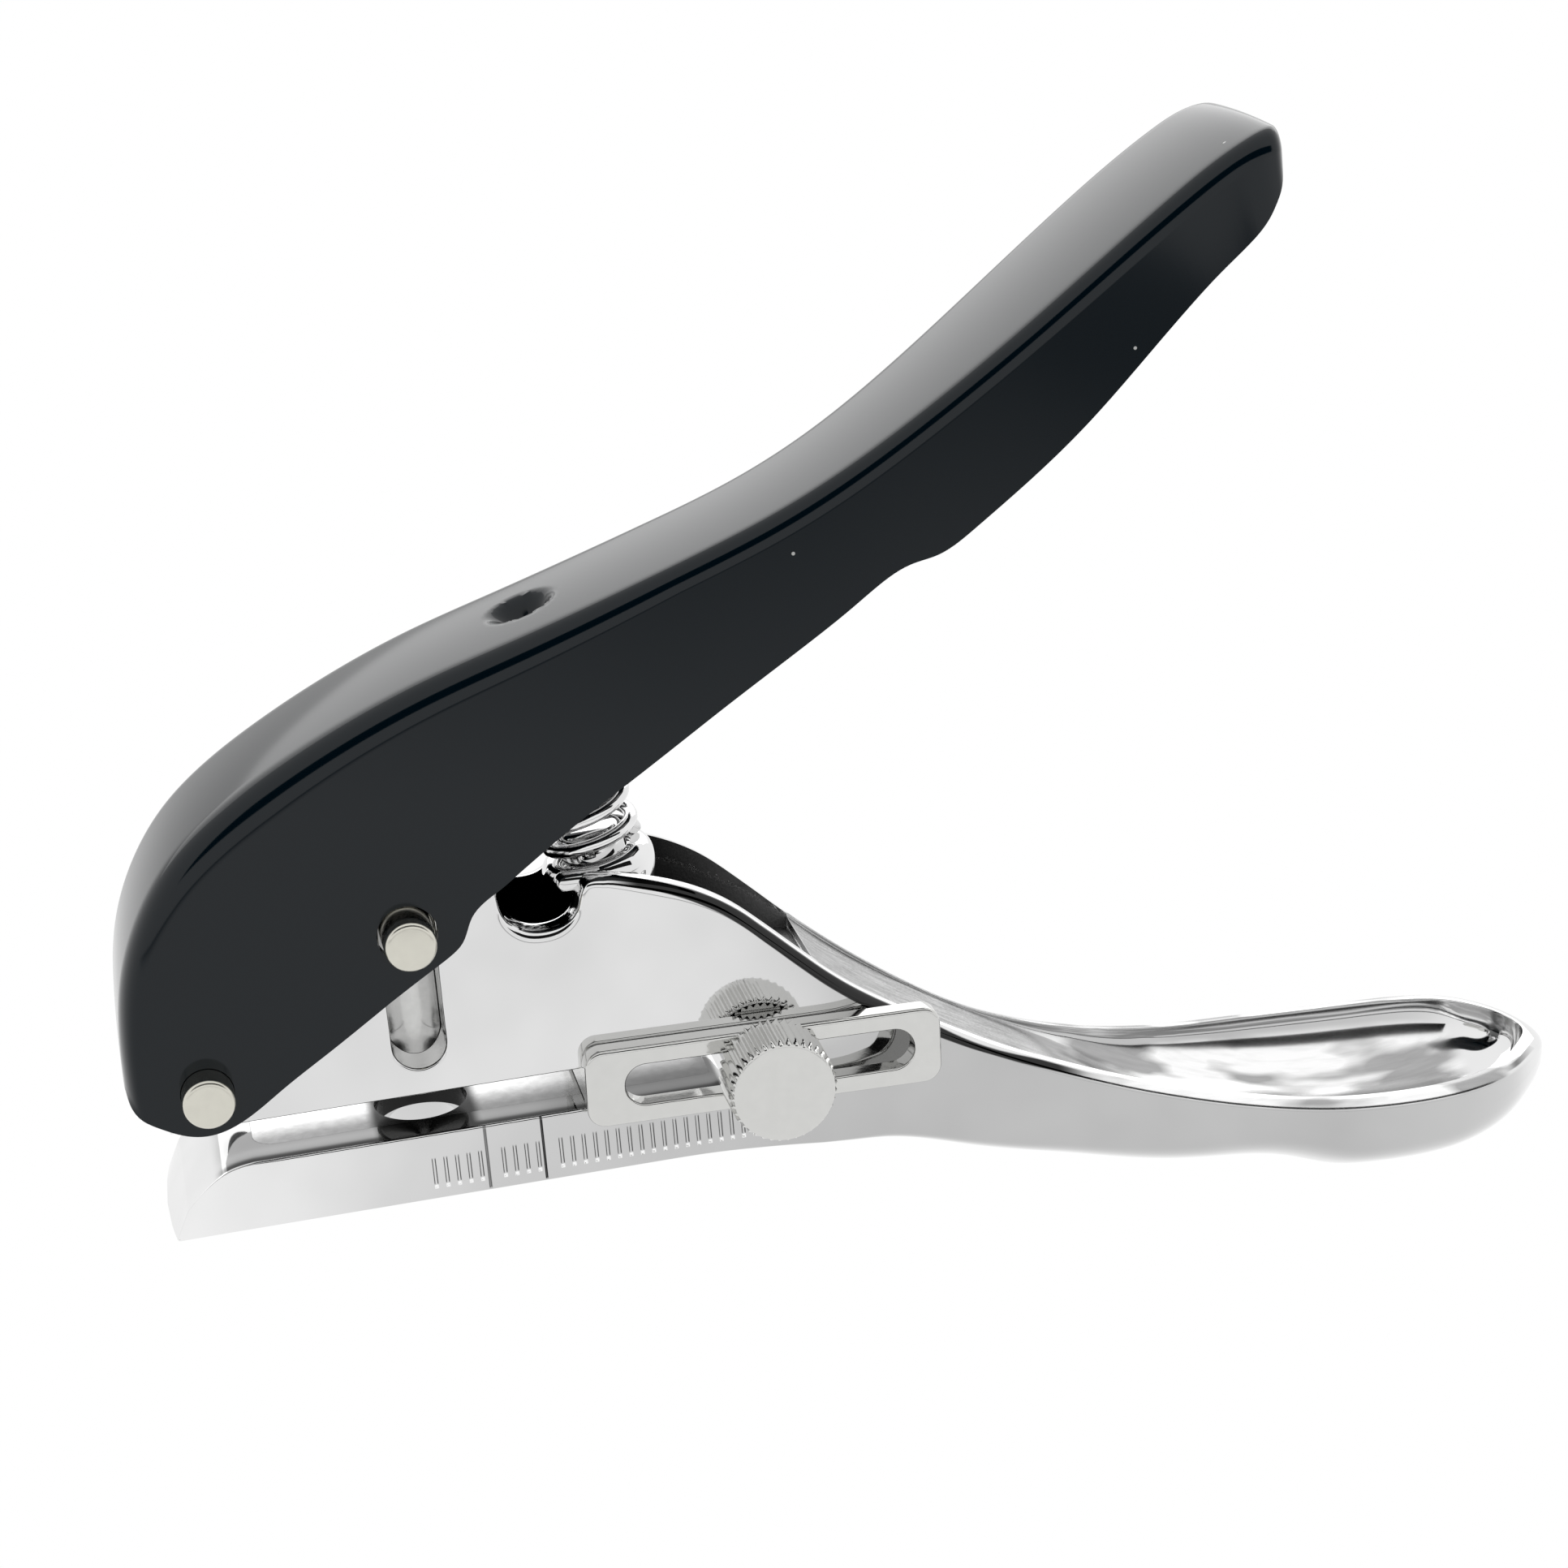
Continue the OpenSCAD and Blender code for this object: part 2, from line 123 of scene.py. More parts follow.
# Meshes
def surface(name, points, faces, weld=1e-4, crease=32):
    """A mesh of the given faces in the jaw's frame: doubles merged, normals turned outwards,
    smooth except across edges sharper than crease degrees."""
    mesh = bpy.data.meshes.new(name)
    mesh.from_pydata(np.asarray(points).tolist(), [], [list(map(int, f)) for f in faces])
    work = bmesh.new()
    work.from_mesh(mesh)
    bmesh.ops.remove_doubles(work, verts=work.verts, dist=weld)
    bmesh.ops.dissolve_degenerate(work, dist=weld, edges=work.edges)
    bmesh.ops.recalc_face_normals(work, faces=work.faces)
    work.to_mesh(mesh)
    work.free()
    obj = in_scene(name, mesh)
    smooth(obj, crease)
    return obj


def in_scene(name, data):
    """A new object of the scene that holds a mesh or a camera."""
    obj = bpy.data.objects.new(name, data)
    bpy.context.scene.collection.objects.link(obj)
    return obj


def smooth(obj, crease=32):
    """Smooth shading with sharp edges above crease degrees."""
    mesh = obj.data
    mesh.shade_smooth()
    mesh.set_sharp_from_angle(angle=math.radians(crease))


def grid_faces(rows, cols, wrap_cols=False, start=0):
    """Quads of a grid of points numbered row by row from start."""
    r = np.arange(rows - 1)
    c = np.arange(cols if wrap_cols else cols - 1)
    i, j = np.meshgrid(r, c, indexing="ij")
    i2, j2 = (i + 1) % rows, (j + 1) % cols
    q = np.stack([i * cols + j, i2 * cols + j, i2 * cols + j2, i * cols + j2], -1)
    return (q.reshape(-1, 4) + start).tolist()


def loft(name, rings, crease=32):
    """Skin over closed rings of equal length, with a flat cap at each end."""
    rings = np.asarray(rings, float)
    k, m = rings.shape[:2]
    return surface(name, rings.reshape(-1, 3), grid_faces(k, m, wrap_cols=True) + caps(k, m), crease=crease)


def caps(rows, cols, start=0):
    """The two faces that close the first and the last row of a grid."""
    return [[start + c for c in range(cols)], [start + (rows - 1) * cols + c for c in range(cols)]]


def outward(outline):
    """Unit normals of a closed counterclockwise outline, mitred so that an offset keeps its width."""
    p = np.asarray(outline, float)
    d = np.roll(p, -1, 0) - p
    d /= np.linalg.norm(d, axis=1)[:, None]
    n = np.c_[d[:, 1], -d[:, 0]]
    m = n + np.roll(n, 1, 0)
    m /= np.linalg.norm(m, axis=1)[:, None]
    return m / np.clip((m * n).sum(1), 0.5, 1)[:, None]


CUT_PAST, CAP_IN, EDGE_STEPS = 1.0, 0.05, 6      # a cutter's reach, a cap's inset, a round edge's steps


def slab(name, outline, y0, y1, r=0.3, flare=-1):
    """A side outline carried across from y0 to y1. Near each face the outline is drawn in by
    r (1 - sin a) while it moves r (1 - cos a) across, which rounds the edge. With flare 1 it
    widens instead, for a cutter that leaves a rounded edge, and runs past the faces."""
    p = np.asarray(outline, float)
    if area(p) < 0:
        p = p[::-1]
    n = outward(p)

    def ring(offset, y):
        q = p + n * offset
        return np.c_[q[:, 0], np.full(len(p), y), q[:, 1]]

    def edge(y, way):
        first = ring(r, y - way * CUT_PAST) if flare > 0 else ring(-r - CAP_IN, y)
        turn = np.radians(np.linspace(0, 90, EDGE_STEPS + 1))
        return [first] + [ring(flare * r * (1 - np.sin(a)), y + way * r * (1 - np.cos(a))) for a in turn]

    return loft(name, edge(y0, 1) + edge(y1, -1)[::-1])


def area(p):
    """Signed area of a closed outline, positive when it runs counterclockwise."""
    q = np.roll(p, -1, 0)
    return 0.5 * np.sum(p[:, 0] * q[:, 1] - q[:, 0] * p[:, 1])


def turned(name, profile, base=(0, 0, 0), axis="z", sides=96, lean=0):
    """A profile of (radius, height) points turned about an axis through base; lean tips its top
    towards the nose, in degrees."""
    prof = np.asarray(profile, float)
    a = np.linspace(0, 2 * np.pi, sides, endpoint=False)
    r, h = prof[:, 0][:, None], prof[:, 1][:, None]
    u, v, w = r * np.cos(a), r * np.sin(a), h + 0 * a
    order = {"x": (w, u, v), "y": (u, w, v), "z": (u, v, w)}[axis]
    tip = math.radians(lean)
    turn = np.array([[math.cos(tip), 0, -math.sin(tip)], [0, 1, 0], [math.sin(tip), 0, math.cos(tip)]])
    points = np.stack(order, -1) @ turn.T + np.asarray(base, float)
    return surface(name, points.reshape(-1, 3), grid_faces(len(prof), sides, wrap_cols=True))


def boolean(body, tool, how):
    """body with tool taken away from it or joined to it; the tool is used up."""
    mod = body.modifiers.new(how, "BOOLEAN")
    mod.operation = how
    mod.solver = "MANIFOLD"
    mod.object = tool
    graph = bpy.context.evaluated_depsgraph_get()
    mesh = bpy.data.meshes.new_from_object(body.evaluated_get(graph))
    if not len(mesh.polygons):
        raise RuntimeError("boolean left nothing: " + body.name + " with " + tool.name)
    old = body.data
    body.modifiers.clear()
    body.data = mesh
    bpy.data.meshes.remove(old)
    bpy.data.objects.remove(tool)
    smooth(body)
    return body


def cut(body, tool):
    """body with the tool's space taken away."""
    return boolean(body, tool, "DIFFERENCE")


def place(obj, body, finish, replaces):
    """Stands the piece on the ground in metres, gives it its body and material, and hides the imported part
    it replaces.
    """
    at = np.empty(len(obj.data.vertices) * 3)
    obj.data.vertices.foreach_get("co", at)
    obj.data.vertices.foreach_set("co", stand(at.reshape(-1, 3)).ravel())
    obj.data.update()
    obj.data.materials.clear()
    obj.data.materials.append(finish)
    even = obj.modifiers.new("even shading", "WEIGHTED_NORMAL")
    even.mode, even.keep_sharp, even.weight = "FACE_AREA", True, 100
    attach(obj, body)
    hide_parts(replaces)
    return obj


# Values in a shader
def node(tree, kind, **values):
    """A new node with its inputs set by name, and its other settings too."""
    new = tree.nodes.new(kind)
    for key, value in values.items():
        if key in new.inputs:
            new.inputs[key].default_value = value
        else:
            setattr(new, key, value)
    return new


class Value:
    """A number, place or colour that changes over a surface, kept as the socket it comes out of. A
    sum, difference or product of two numbers, one of which may be plain, is a Math node in its tree."""

    def __init__(self, tree, socket):
        self.tree, self.socket = tree, socket

    def __add__(self, other):
        return reckon("ADD", self, other)

    def __sub__(self, other):
        return reckon("SUBTRACT", self, other)

    def __rsub__(self, other):
        return reckon("SUBTRACT", other, self)

    def __mul__(self, other):
        return reckon("MULTIPLY", self, other)

    def __abs__(self):
        return reckon("ABSOLUTE", self)

    __radd__, __rmul__ = __add__, __mul__


def feed(value, socket):
    """Links a value to a socket, or sets the socket where the value is a plain one."""
    if isinstance(value, Value):
        value.tree.links.new(value.socket, socket)
    else:
        socket.default_value = value


def reckon(how, *values):
    """A Math node on values or plain numbers."""
    tree = next(v.tree for v in values if isinstance(v, Value))
    result = node(tree, "ShaderNodeMath", operation=how)
    for value, socket in zip(values, result.inputs):
        feed(value, socket)
    return Value(tree, result.outputs[0])


def remap(value, low, high, a, b, **how):
    """a where the value is low, b where it is high, and a straight line between, unless how says else."""
    spread = node(value.tree, "ShaderNodeMapRange", **how)
    for key, end in (("Value", value), ("From Min", low), ("From Max", high), ("To Min", a), ("To Max", b)):
        feed(end, spread.inputs[key])
    return Value(value.tree, spread.outputs["Result"])


def rise(value, a, b):
    """0 below a, 1 above b, smooth between."""
    return remap(value, a, b, 0, 1, interpolation_type="SMOOTHSTEP")


def fall(value, a, b):
    """1 below a, 0 above b, smooth between."""
    return 1 - rise(value, a, b)


def blend(share, a, b):
    """a where the share is 0 and b where it is 1."""
    return a * (1 - share) + b * share


def distance(a, b):
    """Length of the line to the point (a, b)."""
    return reckon("SQRT", a * a + b * b)


def curve(value, points, top=1.0):
    """A curve through (place, height) points, for heights up to top."""
    low, high = points[0][0], points[-1][0]
    bend = node(value.tree, "ShaderNodeFloatCurve")
    line = bend.mapping.curves[0]
    pairs = [((x - low) / (high - low), y / top) for x, y in points]
    line.points[0].location, line.points[1].location = pairs[0], pairs[-1]
    for pair in pairs[1:-1]:
        line.points.new(*pair)
    bend.mapping.update()
    feed(remap(value, low, high, 0, 1), bend.inputs["Value"])
    return Value(value.tree, bend.outputs["Value"]) * top


def grey(value):
    """The colour whose three parts are the value."""
    mix = node(value.tree, "ShaderNodeCombineColor")
    for channel in mix.inputs:
        feed(value, channel)
    return Value(value.tree, mix.outputs[0])


def between_colours(share, a, b):
    """Colour a where the share is 0 and b where it is 1."""
    mix = node(share.tree, "ShaderNodeMix", data_type="RGBA")
    for key, value in (("Factor", share), ("A", a), ("B", b)):
        feed(value, mix.inputs[key])
    return Value(share.tree, mix.outputs["Result"])


def effect(name, inputs, outputs):
    """An empty node group with named inputs and outputs: its tree, its inputs' values and its exit."""
    tree = bpy.data.node_groups.new(name, "ShaderNodeTree")
    for way, sockets in (("INPUT", inputs), ("OUTPUT", outputs)):
        for label, kind in sockets.items():
            tree.interface.new_socket(label, in_out=way, socket_type="NodeSocket" + kind)
    entry = node(tree, "NodeGroupInput")
    return tree, {label: Value(tree, entry.outputs[label]) for label in inputs}, node(tree, "NodeGroupOutput")


def use(effect_tree, tree, **own):
    """An effect placed in a material with its own values; gives back its outputs by name."""
    placed = node(tree, "ShaderNodeGroup", node_tree=effect_tree)
    for label, value in own.items():
        feed(value, placed.inputs[label])
    return {socket.name: Value(tree, socket) for socket in placed.outputs}


def on_object(tree):
    """Object coordinates, in metres."""
    return Value(tree, node(tree, "ShaderNodeTexCoord").outputs["Object"])


# Camera and stage
# The camera's place and its angles, in degrees, are in the jaw's frame
CAMERA_AT = (-18.12, -268.7, 122.65)
CAMERA_AZIMUTH, CAMERA_HEIGHT, CAMERA_ROLL = 11.08, 19.80, -4.59
FOCAL_PIXELS, PHOTO_PIXELS, SENSOR = 4134.58, 1932, 36.0


def make_camera():
    """The photograph's camera: back, right and up directions from its azimuth, height and roll."""
    az, el, roll = (math.radians(v) for v in (CAMERA_AZIMUTH, CAMERA_HEIGHT, CAMERA_ROLL))
    back = Vector((-math.sin(az) * math.cos(el), -math.cos(az) * math.cos(el), math.sin(el)))
    level = Vector((math.cos(az), -math.sin(az), 0))
    over = back.cross(level)
    right = math.cos(roll) * level + math.sin(roll) * over
    up = -math.sin(roll) * level + math.cos(roll) * over
    turn = Matrix((right, up, back)).transposed().to_4x4()
    data = bpy.data.cameras.new("camera")
    data.sensor_width = SENSOR
    data.lens = FOCAL_PIXELS / PHOTO_PIXELS * SENSOR
    data.clip_start, data.clip_end = 0.01, 20
    at = STAND @ (Matrix.Translation(CAMERA_AT) @ turn)
    at.translation *= METRES
    camera = in_scene("camera", data)
    camera.matrix_world = at
    bpy.context.scene.camera = camera


def shown_white(tree, lit, white, out):
    """Shows white to camera, glossy and transmission rays, and lit to all others."""
    ray = node(tree, "ShaderNodeLightPath")
    seen = [Value(tree, ray.outputs["Is %s Ray" % kind]) for kind in ("Camera", "Glossy", "Transmission")]
    mix = node(tree, "ShaderNodeMixShader")
    feed(reckon("MAXIMUM", reckon("MAXIMUM", *seen[:2]), seen[2]), mix.inputs[0])
    tree.links.new(lit.outputs[0], mix.inputs[1])
    tree.links.new(white.outputs[0], mix.inputs[2])
    tree.links.new(mix.outputs[0], out.inputs["Surface"])


def emptied(owner):
    """The node tree of a world or a material, with no nodes in it."""
    owner.use_nodes = True
    owner.node_tree.nodes.clear()
    return owner.node_tree


FLOOR_REACH, FILL = 1.6, 0.55                   # half the floor's side, and the light from all sides
WHITE, CLOTH = (1, 1, 1, 1), (0.9, 0.9, 0.9, 1)


def board(name, corners, finish):
    """A flat piece of the stage with four corners."""
    mesh = bpy.data.meshes.new(name)
    mesh.from_pydata(corners, [], [(0, 1, 2, 3)])
    mesh.materials.append(finish)
    return in_scene(name, mesh)


def level_corners(x, y0, y1, z):
    """Corners of a level board that reaches x to both sides."""
    return [(-x, y0, z), (x, y0, z), (x, y1, z), (-x, y1, z)]


def make_stage():
    """A pale floor that keeps the shadow, and a world that lights softly from all sides; both look
    white to the camera and in reflections."""
    scene = bpy.context.scene
    scene.view_settings.view_transform = "Standard"
    scene.world = bpy.data.worlds.new("studio")
    tree = emptied(scene.world)
    fill = node(tree, "ShaderNodeBackground", Color=WHITE, Strength=FILL)
    white = node(tree, "ShaderNodeBackground", Color=WHITE, Strength=1.0)
    shown_white(tree, fill, white, node(tree, "ShaderNodeOutputWorld"))
    pale = bpy.data.materials.new("pale floor")
    tree = emptied(pale)
    cloth = node(tree, "ShaderNodeBsdfDiffuse", Color=CLOTH)
    white = node(tree, "ShaderNodeEmission", Color=WHITE, Strength=1.0)
    shown_white(tree, cloth, white, node(tree, "ShaderNodeOutputMaterial"))
    board("floor", level_corners(FLOOR_REACH, -FLOOR_REACH, FLOOR_REACH, 0), pale)


def card(name, corners, strength):
    """A card beside the set that only mirror reflections see: dark, as photographers use for chrome,
    or glowing, as a softbox. Gives back its tree and its glow."""
    finish = bpy.data.materials.new(name)
    tree = emptied(finish)
    glow = node(tree, "ShaderNodeEmission", Color=WHITE, Strength=strength)
    tree.links.new(glow.outputs[0], node(tree, "ShaderNodeOutputMaterial").inputs["Surface"])
    sheet = board(name, corners, finish)
    sheet.visible_camera = sheet.visible_diffuse = sheet.visible_shadow = sheet.visible_transmission = False
    return tree, glow


def floor_shade():
    """Floor card in front of the set that darkens gradually away from the part; only the high rear
    end of the lever mirrors it."""
    tree, glow = card("floor_shade", level_corners(0.9, -0.5, -0.1, 0.0005), 1.0)
    at = node(tree, "ShaderNodeSeparateXYZ")
    feed(on_object(tree), at.inputs[0])
    feed(remap(Value(tree, at.outputs["Y"]), -0.32, -0.12, 0.3, 1.0), glow.inputs["Strength"])


# The frame casting
HALF = 7.5              # half the jaw's width
JOIN = 28.0             # the front slab and the grip meet on this plane
CORNER_STEPS = 8
RIM_WIDE = 1.55         # the rims round over nearly their whole width
RIM_INNER = 0.12        # radius of a rim's inner edge
GUARD = 0.06            # how far the flat sides start below a rounded edge
THROAT = 3.8            # height of the throat over the die
JAW_UNDER = -6.1
BEAK_R, UNDER_R, SIDE_R = 0.12, 0.22, 0.3
FRONT_PIN, PUNCH_PIN, SCREW = (-18, 7.8), (0, 18.9), (29.5, 2.1)
PIN_R, PIN_HALF, PIN_BEVEL = 2.2, 11.8, 0.5
SLOT_FOOT, SLOT_R = (0, 8.45), 2.3                      # the upright slot, up to the punch pin
SHORT_SLOT, SHORT_R = ((-20.3, 7.8), (-17.95, 7.8)), 2.36
BORE_R, OUTLET_R, STUD_HOLE_R = 4.05, 4.5, 1.52
# along X: heights of the rim, how deep it rounds, heights of the underside, the grip's half width in
# plan, how deep the hollow is, and the radius of the grip's lower edge
RIM = [(15.4, 20.85), (17.2, 20.85), (18.9, 20.45), (20.9, 19.85), (23.3, 19.0), (25.4, 18.0),
       (27.9, 16.35), (30.5, 14.0), (33.2, 11.4), (35.9, 8.85), (38.7, 6.5), (41.8, 4.2), (45.8, 1.5),
       (50.2, -1.15), (54.6, -3.25), (62.8, -6.3), (71.2, -8.35), (78.6, -9.45), (86.5, -10.05),
       (92, -10.15), (98, -9.95), (101.5, -10.05), (104.5, -10.9), (106, -11.6)]
RIM_TALL = [(15, 0.8), (17, 0.9), (22, 1.2), (29, 1.1), (40, 0.9), (60, 0.9), (110, 0.9)]
UNDER = [(20, -6.1), (24, -6.15), (28, -6.38), (34.6, -7.05), (40.2, -8.1), (48, -11.1), (57.5, -13.5),
         (65.6, -15.0), (70, -15.2), (74, -15.35), (77, -15.95), (80, -16.95), (84, -17.5), (89, -17.66),
         (93, -17.5), (97, -17.0), (100, -16.6), (106, -16.4)]
PLAN = [(28, 7.5), (30, 7.5), (32, 7.5), (34.5, 7.5), (37, 7.35), (39.5, 6.85), (42, 6.25), (46, 5.55),
        (50, 5.42), (54, 5.75), (58, 6.35), (62.8, 7.3), (67.6, 8.45), (71.2, 9.4), (74.9, 10.3),
        (78.6, 11.05), (82.5, 11.5), (86.5, 11.6), (90.6, 11.4), (95.2, 10.5), (98.6, 8.85),
        (101.2, 6.4), (103.5, 3.3)]
TIP = (104.5, 0.0)
HOLLOW = [(28, 0), (29.5, 0), (31, 0), (33, 0.25), (50, 0.3), (55, 0.9), (62, 2.6), (67, 4.0), (74, 5.0),
          (80, 5.7), (86, 6.0), (92, 5.9), (96.3, 5.6)]
UNDER_ROUND = [(28, 0.22), (34, 0.3), (40, 0.9), (47, 1.5), (60, 2.4), (72, 3.6), (80, 4.3), (100, 4.4)]
SPINE_BEND, SPINE_DROP = 88, 33     # past this station the spine falls back by the square over this


def read(table, x):
    """A height table's natural cubic spline, read at x."""
    t = np.asarray(table, float)
    return cubic(t[:, 0], t[:, 1], np.ravel(x)).reshape(np.shape(x))


def ramp(x, pairs):
    """Straight-line interpolation through (x, value) pairs."""
    t = np.asarray(pairs, float)
    return np.interp(x, t[:, 0], t[:, 1])


def steepness(table, x):
    """Slope of a height table at x."""
    return (read(table, x + 0.1) - read(table, x - 0.1)) / 0.2


def ease(x, a, b):
    """0 before a, 1 after b, and a smooth cubic step between."""
    t = np.clip((x - a) / (b - a), 0, 1)
    return t * t * (3 - 2 * t)


# angles at which round edges and the bowl are stepped
FILLET = np.radians(np.linspace(0, 90, CORNER_STEPS + 1))
INNER = np.radians(np.linspace(0, 90, 5))
BOWL = np.radians(np.array([1.5, 4, 8, 14, 21, 29, 38, 48, 58, 68, 79, 90]))


def across_top(x, d):
    """Inward distance and drop below the rim of every point across the top, from the outer wall to
    the spine, for stations x whose spine lies d away: an outer edge rounded as a quarter ellipse, a
    narrow flat, a small inner edge, and a bowl (1 - (1 - e)^n)^(1/n) whose n falls from a flat
    channel to a spoon."""
    x, d = x[:, None], d[:, None]
    wall = ramp(x, [(28, 1.8), (50, 1.75), (96, 1.8)])
    deep = read(HOLLOW, x) * (x > 31)
    tall = ramp(x, RIM_TALL) * np.hypot(1, steepness(RIM, x))
    share = np.clip(deep / 0.8, 0, 1)
    n = ramp(x, [(28, 7), (52, 7), (60, 3.2), (68, 2.3), (110, 2.2)])
    inward = np.hstack([RIM_WIDE * (1 - np.cos(FILLET)) + 0 * x,
                        (RIM_WIDE + wall - RIM_INNER) / 2,
                        wall - RIM_INNER + RIM_INNER * np.sin(INNER),
                        wall + (d - wall) * (1 - np.cos(BOWL) ** (2 / n))])
    step = share * RIM_INNER
    drop = np.hstack([tall * (1 - np.sin(FILLET)),
                      0 * x,
                      step * (1 - np.cos(INNER)) + 0 * x,
                      step + (deep - step) * np.sin(BOWL) ** (2 / n)])
    return inward, drop


def notch_line():
    """The U-notch behind the slot, from its small point at the grip side over the foot to the head."""
    return through([(17.0, 20.85), (16.2, 20.95), (15.35, 20.75), (14.85, 20.1), (14.5, 19.2), (14.2, 18.3),
                    (13.6, 17.6), (12.7, 17.15), (11.6, 17.0), (10.4, 17.15), (9.3, 17.75), (8.6, 18.6),
                    (8.3, 19.6), (8.2, 20.9)], 0.3)


def head_line():
    """The cheek's top in front of the notch, its slope to the nose, and the nose."""
    return path(straight((8.2, 21.2), (8.2, 22), 0.5), arc((6.2, 22), 2, 0, 90, 8),
                straight((6.2, 24), (-3.6, 24), 2), arc((-3.6, 22), 2, 90, 130, 5),
                straight((-4.9, 23.5), (-18.9, 10.55), 3), arc((-20.15, 7.8), 2.9, 110, 200, 12),
                straight((-22.9, 6.7), (-21.5, THROAT), 1))


def beak_line():
    """The lower jaw's tip, from the die's level down to the toe."""
    return path(through([(-15, 0), (-17, -0.35), (-18.7, -1.25), (-20.4, -2.75), (-20.95, -3.32)], 0.4),
                straight((-21.05, -3.45), (-22.2, -5.85), 0.5), arc((-21.97, -5.85), 0.25, 190, 250, 3))


def frame_front():
    """Outline of the head, cheek and jaw in side view, with the depth and the width of its edge's
    rounding at each point. It starts and ends on the joining plane."""
    rim = through(RIM, 0.5)
    rim = rim[(rim[:, 0] > 17.2) & (rim[:, 0] < JOIN - 0.2)][::-1]
    rim = np.vstack([[JOIN, read(RIM, JOIN)], rim])
    notch = notch_line()
    throat = path(straight((-21.5, THROAT), (24.6, THROAT), 1.0),
                  arc((24.6, THROAT / 2), THROAT / 2, 90, -90, 18), straight((24.6, 0), (-14.6, 0), 1.0))
    under = path(straight((-21.9, JAW_UNDER), (20, JAW_UNDER), 1.5),
                 [(x, read(UNDER, x)) for x in np.arange(20.8, JOIN, 0.8)], [(JOIN, read(UNDER, JOIN))])
    notch_tall = ramp(notch[:, 0], [(8.3, 0.9), (10, 1.2), (12.5, 1.15), (14.6, 0.75), (17, 0.9)])
    under_tall = ramp(under[:, 0], [(-21.9, BEAK_R), (-19, UNDER_R)])
    parts = [(rim, ramp(rim[:, 0], RIM_TALL), RIM_WIDE), (notch, notch_tall, RIM_WIDE),
             (head_line(), SIDE_R, SIDE_R), (throat, SIDE_R, SIDE_R), (beak_line(), BEAK_R, BEAK_R),
             (under, under_tall, UNDER_R)]
    p = np.vstack([line for line, _, _ in parts])
    tall = np.concatenate([np.zeros(len(line)) + v for line, v, _ in parts])
    wide = np.concatenate([np.zeros(len(line)) + v for line, _, v in parts])
    keep = fresh(p, 1e-3)
    p, tall, wide = p[keep], tall[keep], wide[keep]
    fade = np.array([1, 2, 3, 2, 1]) / 9
    for v in (tall, wide):
        v[2:-2] = np.convolve(v, fade, "valid")
    return p, tall, wide


def across_shares():
    """Places across at the joining plane, from the rounded edge to the middle, as shares of the way."""
    inward, _ = across_top(np.array([JOIN]), np.array([HALF]))
    return (inward[0, CORNER_STEPS + 1:] - RIM_WIDE) / (HALF - RIM_WIDE)


def front_skin():
    """Points and faces of the head, cheek and jaw: the side outline drawn in by tall (1 - sin a) while
    it moves wide (1 - cos a) across. Near the joining plane it is drawn in straight up and down, as
    the grip is. The jaw's tip is bowed in plan by 0.55 (1 - (y / half)^2)."""
    p, tall, wide = frame_front()
    n = outward(p)
    w = ease(p[:, 0], JOIN - 3, JOIN)[:, None]
    for table, way, near in ((RIM, 1.0, p[:, 1] > 5), (UNDER, -1.0, p[:, 1] < 0)):
        level = way * np.c_[0 * p[:, 0], np.hypot(1, steepness(table, p[:, 0]))]
        n = np.where(near[:, None] & (w > 0), n * (1 - w) + level * w, n)
    edge = [(p - n * (tall * (1 - math.sin(a)))[:, None], -HALF + wide * (1 - math.cos(a))) for a in FILLET]
    outer = (edge[0][0] - n * GUARD, np.full(len(p), -HALF))
    half = [outer] + edge + [(p, -(HALF - wide) * (1 - k)) for k in across_shares()[:-1]]
    full = half + [(p, np.zeros(len(p)))] + [(q, -y) for q, y in half[::-1]]
    points = np.stack([np.c_[q[:, 0], y, q[:, 1]] for q, y in full])
    at_tip = np.clip((-3.45 - points[..., 2]) / 2.65, 0, 1) * np.clip(-20 - points[..., 0], 0, 1)
    points[..., 0] -= 0.55 * (1 - (points[..., 1] / HALF) ** 2) * at_tip
    rows, cols = points.shape[:2]
    return points.reshape(-1, 3), grid_faces(rows, cols) + caps(rows, cols)


def grip_skin(start):
    """Points and faces of the grip: stations along its plan outline, each with a section from the spine
    under the grip, up the side and over the rim into the hollow, back to the spine. The tables are
    read where the spine is, so that sections which meet there agree."""
    line = through([(x, -y) for x, y in PLAN] + [TIP] + PLAN[::-1], 0.55)
    line[0], line[-1] = (JOIN, -HALF), (JOIN, HALF)
    x, y = line[:, 0], line[:, 1]
    spine = x - np.clip(x - SPINE_BEND, 0, None) ** 2 / SPINE_DROP
    d = np.hypot(x - spine, y)
    ux, uy = (spine - x) / d, -y / d

    def inside(inward):
        return x[:, None] + ux[:, None] * inward, y[:, None] + uy[:, None] * inward

    inward, drop = across_top(np.minimum(x, spine), d)
    px, py = inside(inward)
    top = np.stack([px, py, read(RIM, px) - drop], -1)
    r = ramp(x, UNDER_ROUND)[:, None]
    shares = across_shares()
    px, py = inside(np.hstack([r * (1 - np.cos(FILLET)), r + (d[:, None] - r) * shares[None, :]]))
    stretch = np.hypot(1, steepness(UNDER, x))[:, None]
    lift = r * np.hstack([1 - np.sin(FILLET), np.zeros(len(shares))])[None, :] * stretch
    low = np.stack([px, py, read(UNDER, px) + lift], -1)
    side_top, side_low = top[:, :1].copy(), low[:, :1].copy()
    side_top[..., 2] -= GUARD * np.hypot(1, steepness(RIM, x))[:, None]
    side_low[..., 2] += GUARD * stretch
    section = np.concatenate([low[:, ::-1], side_low, side_top, top], 1)
    rows, cols = section.shape[:2]
    return section.reshape(-1, 3), grid_faces(rows, cols, start=start)


